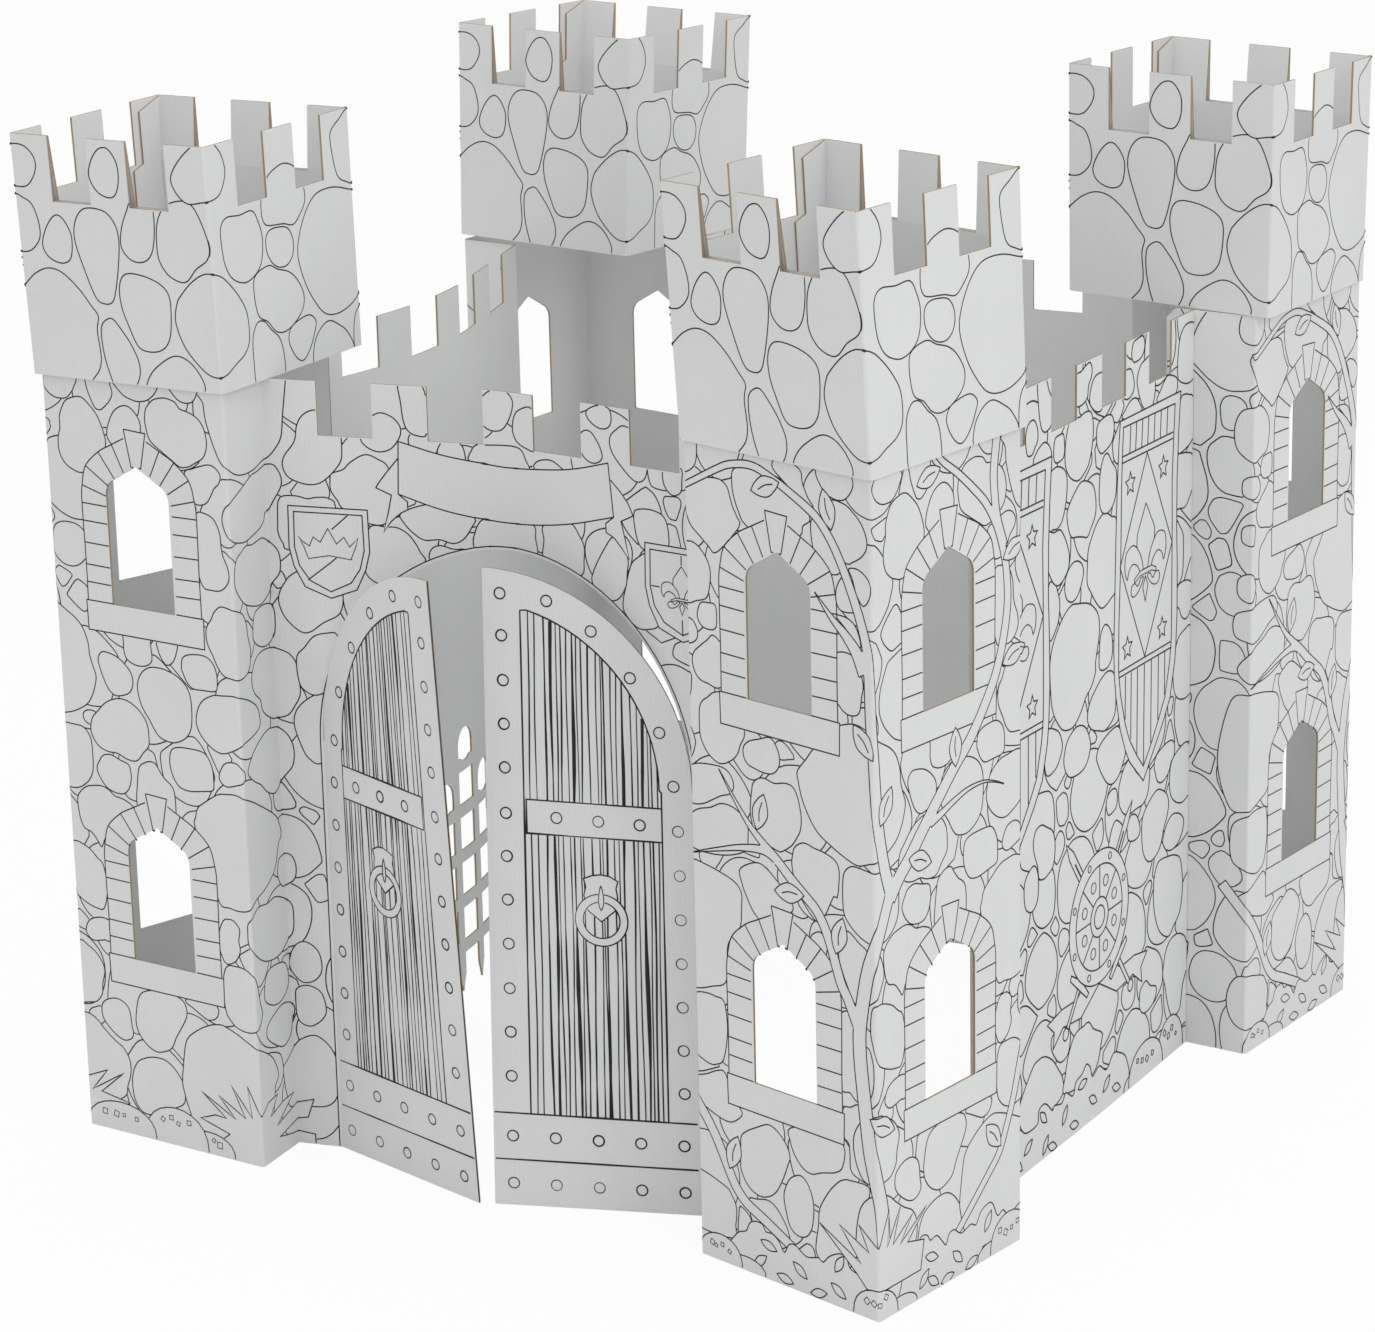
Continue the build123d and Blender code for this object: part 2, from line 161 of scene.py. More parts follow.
class Skin:
    """A printed surface that can be drawn on flat and gives places in the room."""

    def place(self, flat: np.ndarray, lift: np.ndarray) -> np.ndarray:
        """Places of flat points.

        Args:
            flat: N rows of (distance along, height) in millimetres.
            lift: N heights over the printed surface in millimetres.

        Returns:
            N rows of x, y, z in metres in the row frame.
        """
        raise NotImplementedError

    def folds(self) -> list[float]:
        """Distances at which the surface turns, where a line needs close points."""
        return []


class FoldedLine:
    """Plan line of a sheet's printed side: straight runs joined by arcs at the folds."""

    def __init__(
        self, points: Sequence[np.ndarray], radii: Sequence[float | None], names: Sequence[str]
    ) -> None:
        """Lays out the runs.

        Args:
            points: fold points in plan.
            radii: radius at each point, or None for a plain fold.
            names: a name for each point.
        """
        self.runs: list[tuple[str, np.ndarray, np.ndarray, float, float]] = []
        self.starts: list[float] = [0.0]
        self.station: dict[str, tuple[float, float]] = {names[0]: (0.0, 0.0)}
        here = points[0]
        run = 0.0
        for i in range(1, len(points)):
            way = unit(points[i] - points[i - 1])
            turn = 0.0
            trim = 0.0
            radius = 0.0
            if i + 1 < len(points):
                after = unit(points[i + 1] - points[i])
                turn = math.atan2(way[0] * after[1] - way[1] * after[0], float(way @ after))
                radius = radii[i] or (FOLD_OUTSIDE if turn > 0 else FOLD_INSIDE)
                trim = radius * math.tan(abs(turn) / 2)
            end = points[i] - way * trim
            length = float(np.linalg.norm(end - here))
            self.runs.append(("straight", here, way, 0.0, 0.0))
            run += length
            self.starts.append(run)
            before = run + trim
            if turn:
                side = left_of(way) * (1 if turn > 0 else -1)
                self.runs.append(("arc", end + side * radius, way, radius, math.copysign(1.0, turn)))
                run += radius * abs(turn)
                self.starts.append(run)
                here = points[i] + after * trim
            self.station[names[i]] = (before, run - trim)
        self.length = run

    def at(self, s: np.ndarray) -> tuple[np.ndarray, np.ndarray]:
        """Follows the line.

        Args:
            s: distances along the line in millimetres.

        Returns:
            Plan points and outward normals at those distances.
        """
        starts = np.array(self.starts)
        which = np.clip(np.searchsorted(starts, s, side="right") - 1, 0, len(self.runs) - 1)
        spots = np.zeros((len(s), 2))
        ways = np.zeros((len(s), 2))
        for j in np.unique(which):
            chosen = which == j
            kind, base, way, radius, sign = self.runs[j]
            u = s[chosen] - starts[j]
            if kind == "straight":
                spots[chosen] = base + way * u[:, None]
                ways[chosen] = way
            else:
                angle = sign * u / radius
                cos, sin = np.cos(angle), np.sin(angle)
                turned = np.stack([way[0] * cos - way[1] * sin, way[0] * sin + way[1] * cos], 1)
                ways[chosen] = turned
                spots[chosen] = base - np.stack([-turned[:, 1], turned[:, 0]], 1) * sign * radius
        return spots, np.stack([ways[:, 1], -ways[:, 0]], 1)


def tower_points(corner: Corner) -> dict[str, np.ndarray]:
    """Works out the plan fold points of a tower.

    Args:
        corner: which tower.

    Returns:
        The outer corner c, the ends fe and se of its two faces, the ends fr and sr of the returns behind
        them, and the end fl of the flange.
    """
    spot, face, side, face_return, side_return = TOWERS[corner]
    c = np.array(spot)
    fe = c + heading(face) * FACE
    se = c + heading(side) * FACE
    fr = fe + heading(face_return) * RETURN
    sr = se + heading(side_return) * RETURN
    return {"c": c, "fe": fe, "se": se, "fr": fr, "sr": sr, "fl": sr + heading(side_return) * FLANGE}


@dataclass(frozen=True)
class Bend:
    """A bend of a wall: share of its chord, offset to the left and radius."""

    share: float
    offset: float
    radius: float

    def point(self, start: np.ndarray, end: np.ndarray) -> np.ndarray:
        """Plan point of the bend on a wall."""
        chord = end - start
        return start + chord * self.share + left_of(unit(chord)) * self.offset


@dataclass
class SheetSkin(Skin):
    """Printed side of one sheet: tower, wall, tower, wall."""

    first: Corner
    second: Corner
    last: Corner
    wall_one: tuple[Bend, ...]
    wall_two: tuple[Bend, ...]
    line: FoldedLine = field(init=False)

    def __post_init__(self) -> None:
        """Lays out the sheet's plan line."""
        a, b, c = (tower_points(t) for t in (self.first, self.second, self.last))
        one = [bend.point(a["fr"], b["fr"]) for bend in self.wall_one]
        two = [bend.point(b["sr"], c["sr"]) for bend in self.wall_two]
        way = unit(c["sr"] - two[-1])
        slant = abs(float(way @ left_of(unit(c["sr"] - c["se"]))))
        stop = c["sr"] - way * ((TAB_GAP + BOARD * math.sqrt(1 - slant * slant)) / slant)
        points = [a["fl"], a["se"], a["c"], a["fe"], a["fr"], *one]
        points += [b["fr"], b["fe"], b["c"], b["se"], b["sr"], *two, stop]
        names = ["a.fl", "a.se", "a.c", "a.fe", "a.fr", *[f"one{i}" for i in range(len(one))]]
        names += ["b.fr", "b.fe", "b.c", "b.se", "b.sr", *[f"two{i}" for i in range(len(two))], "end"]
        radii = [None] * 5 + [bend.radius for bend in self.wall_one] + [None] * 5
        radii += [bend.radius for bend in self.wall_two] + [None]
        self.line = FoldedLine(points, radii, names)

    def start(self, name: str) -> float:
        """Distance of a fold, for what lies after it."""
        return self.line.station[name][1]

    def stop(self, name: str) -> float:
        """Distance of a fold, for what lies before it."""
        return self.line.station[name][0]

    def middle(self, name: str) -> float:
        """Distance of the middle of a fold."""
        return sum(self.line.station[name]) / 2

    def place(self, flat: np.ndarray, lift: np.ndarray) -> np.ndarray:
        """See Skin.place."""
        spots, normals = self.line.at(flat[:, 0])
        more = np.where((flat[:, 0] > self.start("b.sr")) & (lift > 0), RAISED, 0.0)
        spots = spots + normals * (lift + more)[:, None]
        return (np.column_stack([spots, flat[:, 1]]) + ROW_SHIFT) * MM

    def folds(self) -> list[float]:
        """See Skin.folds."""
        return [sum(pair) / 2 for name, pair in self.line.station.items() if "." in name and name != "a.fl"]


@dataclass
class LeafSkin(Skin):
    """Printed side of a door leaf, drawn from its hinge."""

    hinge: np.ndarray
    foot: float
    head: float
    side: int

    def place(self, flat: np.ndarray, lift: np.ndarray) -> np.ndarray:
        """See Skin.place."""
        share = (flat[:, 1] / LEAF_HEIGHT)[:, None]
        way = heading(self.foot) * (1 - share) + heading(self.head) * share
        normal = np.stack([way[:, 1], -way[:, 0]], 1) * self.side
        normal /= np.linalg.norm(normal, axis=1)[:, None]
        spots = self.hinge + way * flat[:, :1] + normal * np.where(lift > 0, lift + RAISED, lift)[:, None]
        return (np.column_stack([spots, flat[:, 1]]) + ROW_SHIFT) * MM


@dataclass
class CapSkin(Skin):
    """Printed side of a tower cap, drawn round its four faces."""

    corner: Corner
    turned: bool

    def place(self, flat: np.ndarray, lift: np.ndarray) -> np.ndarray:
        """See Skin.place."""
        (cx, cy), rise, hu, hv, tu, tv, kx, ky = CAPS[self.corner]
        origin = np.array([cx, cy, WALL_TOP + rise])
        u = np.array([*heading(hu), tu])
        v = np.array([*heading(hv), tv])
        axis = unit(np.array([kx, ky, 1.0]))
        w = CAP_WIDTH
        q = np.mod(flat[:, 0] + (2 * w if self.turned else 0), 4 * w)
        face = np.minimum((q // w).astype(int), 3)
        r = q - face * w
        nought = np.zeros_like(r)
        a = np.choose(face, [r, nought + w, w - r, nought])
        b = np.choose(face, [nought, r, nought + w, w - r])
        na = np.choose(face, [nought, nought + 1, nought, nought - 1])
        nb = np.choose(face, [nought - 1, nought, nought + 1, nought])
        if heading(hu)[0] * heading(hv)[1] - heading(hu)[1] * heading(hv)[0] < 0:
            a = w - a
            na = -na
        middle = origin + (u + v) * w / 2
        spots = origin + np.outer(a + na * lift, u) + np.outer(b + nb * lift, v)
        grown = (1 + CAP_FLARE * flat[:, 1] / CAP_HEIGHT)[:, None]
        spots = middle + (spots - middle) * grown + np.outer(flat[:, 1], axis)
        return (spots + ROW_SHIFT) * MM

    def folds(self) -> list[float]:
        """See Skin.folds."""
        return [CAP_WIDTH * i for i in range(5)]


# Drawing: flat lines that hide each other, and the ribbons of ink made of them


def spline(points: Points, closed: bool, step: float = 4.0) -> np.ndarray:
    """Smooth curve through points.

    Args:
        points: places that the curve goes through.
        closed: whether it comes back to its start.
        step: rough distance between the points of the result.

    Returns:
        Rows of (distance, height).
    """
    p = np.array(points, float)
    n = len(p)
    out: list[np.ndarray] = []
    spans = n if closed else n - 1
    for i in range(spans):
        p1, p2 = p[i], p[(i + 1) % n]
        p0 = p[i - 1] if closed or i > 0 else p1 * 2 - p2
        p3 = p[(i + 2) % n] if closed or i + 2 < n else p2 * 2 - p1
        count = max(2, int(np.linalg.norm(p2 - p1) / step))
        t = (np.arange(count) / count)[:, None]
        begun = 2 * p1 + (p2 - p0) * t + (2 * p0 - 5 * p1 + 4 * p2 - p3) * t**2
        out.append(0.5 * (begun + (3 * p1 - p0 - 3 * p2 + p3) * t**3))
    if not closed:
        out.append(p[-1:])
    return np.vstack(out)


def inside(points: np.ndarray, shape: np.ndarray) -> np.ndarray:
    """Tests points against a closed shape.

    Args:
        points: rows of (distance, height).
        shape: rows of the shape's outline.

    Returns:
        For each point, whether it lies in the shape.
    """
    x, y = points[:, 0], points[:, 1]
    result = np.zeros(len(points), bool)
    for (x0, y0), (x1, y1) in zip(shape, np.roll(shape, -1, axis=0)):
        if y0 == y1:
            continue
        crosses = (y0 > y) != (y1 > y)
        result ^= crosses & (x < (x1 - x0) * (y - y0) / (y1 - y0) + x0)
    return result


def thin_out(points: np.ndarray, tolerance: float) -> np.ndarray:
    """Drops the points that a straight line passes closely enough.

    Args:
        points: rows of (distance, height) along a line.
        tolerance: how far a dropped point may lie from the line that is left.

    Returns:
        The rows that are kept.
    """
    keep = np.zeros(len(points), bool)
    keep[0] = keep[-1] = True
    stack = [(0, len(points) - 1)]
    while stack:
        i, j = stack.pop()
        if j - i < 2:
            continue
        a, b = points[i], points[j]
        d = b - a
        length = math.hypot(*d) or NEARLY_ZERO
        between = points[i + 1 : j] - a
        off = np.abs(between[:, 0] * d[1] - between[:, 1] * d[0]) / length
        if length < SAME_PLACE:
            off = np.hypot(between[:, 0], between[:, 1])
        k = int(off.argmax())
        if off[k] > tolerance:
            keep[i + 1 + k] = True
            stack += [(i, i + 1 + k), (i + 1 + k, j)]
    return points[keep]


def directions(rows: np.ndarray) -> np.ndarray:
    """Rows of vectors at length one."""
    return rows / np.maximum(np.hypot(rows[:, 0], rows[:, 1]), NEARLY_ZERO)[:, None]


@dataclass
class Stroke:
    """One run of ink."""

    points: np.ndarray
    width: float | Callable[[np.ndarray], np.ndarray]

    def widths(self, points: np.ndarray) -> np.ndarray:
        """Works out how wide the ink is.

        Args:
            points: rows of (distance, height) along the run.

        Returns:
            The width at each point.
        """
        if callable(self.width):
            return self.width(points[:, 1])
        return np.full(len(points), self.width)


@dataclass
class Drawing:
    """Line drawing on a flat skin. What is drawn first hides what is drawn later."""

    covers: list[tuple[np.ndarray, float, float, float, float]] = field(default_factory=list)
    strokes: list[Stroke] = field(default_factory=list)

    # Lies well outside a door leaf, the one drawing that is kept inside a shape
    ALL_ROUND = trace("-400,-400 800,-400 800,1400 -400,1400")

    def cover(self, shape: Iterable[Point] | np.ndarray) -> None:
        """Keeps later lines out of a closed shape.

        Args:
            shape: points of its outline.
        """
        s = np.array(list(shape), float)
        lo, hi = s.min(0), s.max(0)
        self.covers.append((s, lo[0], lo[1], hi[0], hi[1]))

    def box(self, x0: float, z0: float, x1: float, z1: float) -> None:
        """Keeps later lines out of a box."""
        self.cover([(x0, z0), (x1, z0), (x1, z1), (x0, z1)])

    def only(self, shape: Points) -> None:
        """Keeps later lines inside a closed shape."""
        self.cover(self.ALL_ROUND + [self.ALL_ROUND[0]] + shape + [shape[0]])

    def hidden(self, points: np.ndarray) -> np.ndarray:
        """Tests points against all that is covered.

        Args:
            points: rows of (distance, height).

        Returns:
            For each point, whether something covers it.
        """
        lo, hi = points.min(0), points.max(0)
        result = np.zeros(len(points), bool)
        for shape, x0, z0, x1, z1 in self.covers:
            if x0 <= hi[0] and x1 >= lo[0] and z0 <= hi[1] and z1 >= lo[1]:
                result |= inside(points, shape)
        return result

    def line(
        self,
        points: Points | np.ndarray,
        width: float | Callable[[np.ndarray], np.ndarray] = LINE,
        closed: bool = False,
        smooth: bool = True,
    ) -> None:
        """Draws a line where nothing covers it.

        Args:
            points: places that it goes through.
            width: width of the ink, or a rule that gives it for each height.
            closed: whether it comes back to its start.
            smooth: a curve through the points, or straight runs between them.
        """
        p = spline(list(points), closed) if smooth else np.array(points, float)
        if closed:
            p = np.vstack([p, p[:1]])
        fine = [p[:1]]
        for a, b in zip(p, p[1:]):
            count = max(1, math.ceil(math.hypot(*(b - a)) / LINE_STEP))
            fine.append(a + (b - a) * (np.arange(1, count + 1) / count)[:, None])
        p = np.vstack(fine)
        shown = ~self.hidden(p)
        start = None
        for i, visible in enumerate([*shown, False]):
            if visible and start is None:
                start = i
            elif not visible and start is not None:
                if i - start > 1:
                    self.strokes.append(Stroke(thin_out(p[start:i], LINE_TOLERANCE), width))
                start = None

    def shape(self, points: Points, width: float = LINE, smooth: bool = True) -> None:
        """Draws a closed outline that hides what is drawn later inside it."""
        self.line(points, width, True, smooth)
        self.cover(spline(points, True) if smooth else points)

    def joined(self, shapes: Sequence[np.ndarray], width: float = LINE) -> None:
        """Draws closed shapes as one outline and lets them hide what is drawn later.

        Args:
            shapes: rows of (distance, height) of each shape.
            width: width of the ink.
        """
        kept = len(self.covers)
        for i, shape in enumerate(shapes):
            for j, other in enumerate(shapes):
                if j != i:
                    self.cover(other)
            self.line(shape, width, True, False)
            del self.covers[kept:]
        for shape in shapes:
            self.cover(shape)


@dataclass
class Ink:
    """Turns a drawing into thin ribbons of ink on a skin."""

    skin: Skin
    height: float = 0.35
    depth: float = 0.25
    loop_gap: float = 0.5
    fold_reach: float = 5.0
    fold_step: float = 1.2
    wall_step: float = 14.0

    def ribbon(self, stroke: Stroke, base: int) -> tuple[np.ndarray, list[tuple[int, ...]]]:
        """Ribbon of one stroke with a low ridge, closed at both ends.

        Args:
            stroke: the stroke.
            base: index of the first vertex.

        Returns:
            Vertices in metres, and faces.
        """
        p = self.follow_folds(stroke.points)
        loop = len(p) > 3 and math.hypot(*(p[0] - p[-1])) < self.loop_gap
        if loop:
            p = p[:-1]
        n = len(p)
        ahead = np.roll(p, -1, axis=0) - p
        behind = p - np.roll(p, 1, axis=0)
        if not loop:
            ahead[-1] = behind[-1]
            behind[0] = ahead[0]
        ahead = directions(ahead)
        mean = directions(ahead + directions(behind))
        normal = np.stack([-mean[:, 1], mean[:, 0]], 1)
        spread = 1 / np.maximum((mean * ahead).sum(1), 0.5)
        half = stroke.widths(p) / 2 * (self.height + self.depth) / self.height
        side = normal * (half * spread)[:, None]
        flat = np.vstack([p - side, p + side, p])
        lift = np.concatenate([np.full(2 * n, -self.depth), np.full(n, self.height)])
        spots = self.skin.place(flat, lift)
        faces: list[tuple[int, ...]] = []
        for i in range(n if loop else n - 1):
            j = (i + 1) % n
            r0, r1 = base + i, base + j
            l0, l1 = base + n + i, base + n + j
            t0, t1 = base + 2 * n + i, base + 2 * n + j
            faces += [(r0, r1, t1, t0), (t0, t1, l1, l0), (l0, l1, r1, r0)]
        if not loop:
            faces += [(base, base + 2 * n, base + n), (base + n - 1, base + 2 * n - 1, base + 3 * n - 1)]
        return spots, faces

    def follow_folds(self, p: np.ndarray) -> np.ndarray:
        """Adds points where a line crosses a fold or runs over a bent wall.

        Args:
            p: rows of (distance, height).

        Returns:
            The rows with more between them.
        """
        folds = self.skin.folds()
        out = [p[0]]
        for a, b in zip(p, p[1:]):
            lo, hi = min(a[0], b[0]), max(a[0], b[0])
            near = any(lo < f + self.fold_reach and hi > f - self.fold_reach for f in folds)
            count = max(1, math.ceil((hi - lo) / (self.fold_step if near else self.wall_step)))
            out += [a + (b - a) * k / count for k in range(1, count + 1)]
        return np.array(out)

    def piece(self, drawing: Drawing, name: str, material: bpy.types.Material) -> bpy.types.Object:
        """Makes one piece of a whole drawing.

        Args:
            drawing: the lines.
            name: the piece's name.
            material: the ink's finish.

        Returns:
            The new piece, which rides on the body.
        """
        vertices: list[np.ndarray] = []
        faces: list[tuple[int, ...]] = []
        base = 0
        for stroke in drawing.strokes:
            spots, more = self.ribbon(stroke, base)
            vertices.append(spots)
            faces += more
            base += len(spots)
        mesh = bpy.data.meshes.new(name)
        mesh.from_pydata(np.vstack(vertices).tolist(), [], faces)
        mesh.materials.append(material)
        mesh.update()
        piece = bpy.data.objects.new(name, mesh)
        bpy.context.collection.objects.link(piece)
        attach(piece, "root")
        log.info("%s: %d strokes, %d faces", name, len(drawing.strokes), len(faces))
        return piece


# Stones that are laid by a rule


@dataclass
class Stones:
    """Fills what is left of a face with rounded stones that lie close together."""

    seed: int
    largest: float = 62.0
    smallest: float = 15.0
    gap: float = 7.0

    TRIES = 5
    SHRINK = 0.82
    OVERHANG = 10
    SIDES = 14
    CLOSEST = 3.5
    ALWAYS_DRAWN = 30

    def fill(self, drawing: Drawing, x0: float, z0: float, x1: float, z1: float) -> None:
        """Draws the stones of one area.

        Args:
            drawing: where they go; what it covers already stays clear.
            x0: left end.
            z0: foot.
            x1: right end.
            z1: top.
        """
        rng = random.Random(self.seed)
        stones: list[Triple] = []
        size = self.largest
        area = (x1 - x0) * (z1 - z0)
        while size > self.smallest:
            for _ in range(int(area / (size * size) * self.TRIES)):
                r = size * rng.uniform(0.85, 1.1)
                x = rng.uniform(x0 - self.OVERHANG, x1 + self.OVERHANG)
                z = rng.uniform(z0 - self.OVERHANG, z1 + self.OVERHANG)
                if self.has_room(x, z, r, stones):
                    stones.append((x, z, r))
            size *= self.SHRINK
        spots = np.array([(a, b) for a, b, _ in stones])
        free = ~drawing.hidden(spots)
        for i, (x, z, r) in enumerate(stones):
            if free[i] or r > self.ALWAYS_DRAWN:
                outline = self.outline(i, stones, rng)
                if len(outline) > 3:
                    drawing.shape(outline, LINE * rng.uniform(0.92, 1.1))

    def has_room(self, x: float, z: float, r: float, stones: list[Triple]) -> bool:
        """Whether a stone fits beside those that lie already."""
        return all((x - a) ** 2 + (z - b) ** 2 > ((r + c) * 0.9 + self.gap * 0.5) ** 2 for a, b, c in stones)

    def outline(self, i: int, stones: list[Triple], rng: random.Random) -> Points:
        """Rounds off a stone among its neighbours.

        Args:
            i: which stone.
            stones: all stones, each as distance, height and radius.
            rng: the random draws.

        Returns:
            Its outline, or nothing if its neighbours leave too little of it.
        """
        x, z, r = stones[i]
        turn = rng.uniform(0, math.tau)
        stretch = rng.uniform(1.0, 1.16)
        cos, sin = math.cos(turn), math.sin(turn)
        poly: Points = []
        for k in range(self.SIDES):
            angle = math.tau * k / self.SIDES
            bulge = 1 + 0.07 * math.sin(2 * angle + turn) + 0.05 * math.sin(3 * angle + 2 * turn)
            reach = r * 1.22 * bulge
            a, b = reach * math.cos(angle) * stretch, reach * math.sin(angle) / stretch
            poly.append((x + a * cos - b * sin, z + a * sin + b * cos))
        for j, (xj, zj, rj) in enumerate(stones):
            dx, dz = xj - x, zj - z
            d = math.hypot(dx, dz)
            if j == i or d > (r + rj) * 1.5:
                continue
            limit = r + (d - r - rj) / 2 - self.gap / 2
            poly = self.clip(poly, (x, z), (dx / d, dz / d), limit)
            if len(poly) < 4:
                return []
        for _ in range(2):
            poly = [
                ((a[0] * (1 - t) + b[0] * t), (a[1] * (1 - t) + b[1] * t))
                for a, b in zip(poly, poly[1:] + poly[:1])
                for t in (0.27, 0.73)
            ]
        merged: Points = []
        for p in poly:
            if not merged or math.dist(p, merged[-1]) > self.CLOSEST:
                merged.append(p)
        return merged

    @staticmethod
    def clip(poly: Points, centre: Point, way: Point, limit: float) -> Points:
        """Cuts a polygon off beyond a straight line.

        Args:
            poly: the polygon.
            centre: where the limit is measured from.
            way: direction of the measure, at length one.
            limit: how far the polygon may reach that way.

        Returns:
            What is left of the polygon.
        """
        out: Points = []
        for a, b in zip(poly, poly[1:] + poly[:1]):
            da = (a[0] - centre[0]) * way[0] + (a[1] - centre[1]) * way[1] - limit
            db = (b[0] - centre[0]) * way[0] + (b[1] - centre[1]) * way[1] - limit
            if da <= 0:
                out.append(a)
            if (da < 0) != (db < 0):
                t = da / (da - db)
                out.append((a[0] + (b[0] - a[0]) * t, a[1] + (b[1] - a[1]) * t))
        return out


# Motifs that several faces share


@dataclass(frozen=True)
class Panel:
    """A stretch of a skin that artwork is drawn on: where it starts, and which way it runs."""

    origin: float
    sign: int = 1

    def to(self, points: Points) -> Points:
        """Points of the artwork in distances along the skin."""
        return [(self.origin + self.sign * x, z) for x, z in points]


def circle(x: float, z: float, radius: float, count: int = 16) -> Points:
    """Points round a circle."""
    angles = [math.tau * k / count for k in range(count)]
    return [(x + radius * math.cos(a), z + radius * math.sin(a)) for a in angles]


def arch(x: float, z: float, radius: float, start: float, end: float, count: int = 24) -> Points:
    """Points along an arc, with angles in degrees from the level."""
    angles = [math.radians(start + (end - start) * k / count) for k in range(count + 1)]
    return [(x + radius * math.cos(a), z + radius * math.sin(a)) for a in angles]


@dataclass(frozen=True)
class Window:
    """Stone surround of a window: sill, side blocks, arch stones and keystone."""

    centre: float
    sill: float

    OPENING = trace(
        "-55.5,0 55.5,0 55.5,156 53,166 49,173 43.4,177.4 0,202 -43.4,177.4 -49,173 -53,166 -55.5,156"
    )
    OUTER = trace("-101,1.4 -100.5,60 -101.5,141 -99,166 -91,193 -67,215 -42,228 -20,239")
    JOINTS = trace("-50,152 -99,165 -46,165 -91,193 -34,172 -67,215 -18,180 -42,228")
    COURSES = (28, 53, 84, 115, 140)
    KEYSTONE = trace("-19,252 19,250 16,236 8,200 -9,200 -16,236")
    SILL = trace("-104,1.5 104,1.0 103,-42 -103,-41")

    def draw(self, drawing: Drawing, panel: Panel) -> None:
        """Draws the surround round its opening.

        Args:
            drawing: where it goes.
            panel: the stretch of skin that it lies on.
        """

        def at(points: Points, flip: int = 1) -> Points:
            return panel.to([(self.centre + flip * x, self.sill + z) for x, z in points])

        drawing.cover(at([(x * 1.01, z) for x, z in self.OPENING]))
        drawing.shape(at(self.KEYSTONE), smooth=False)
        for flip in (-1, 1):
            drawing.line(at(self.OUTER, flip))
            for a, b in zip(self.JOINTS[::2], self.JOINTS[1::2]):
                drawing.line(at([a, b], -flip), smooth=False)
            for z in self.COURSES:
                drawing.line(at([(-50, z - 1), (-101, z)], -flip), smooth=False)
        outline = self.OUTER + [(-x, z) for x, z in reversed(self.OUTER)]
        drawing.shape(at(self.SILL), smooth=False)
        drawing.cover(at(outline))


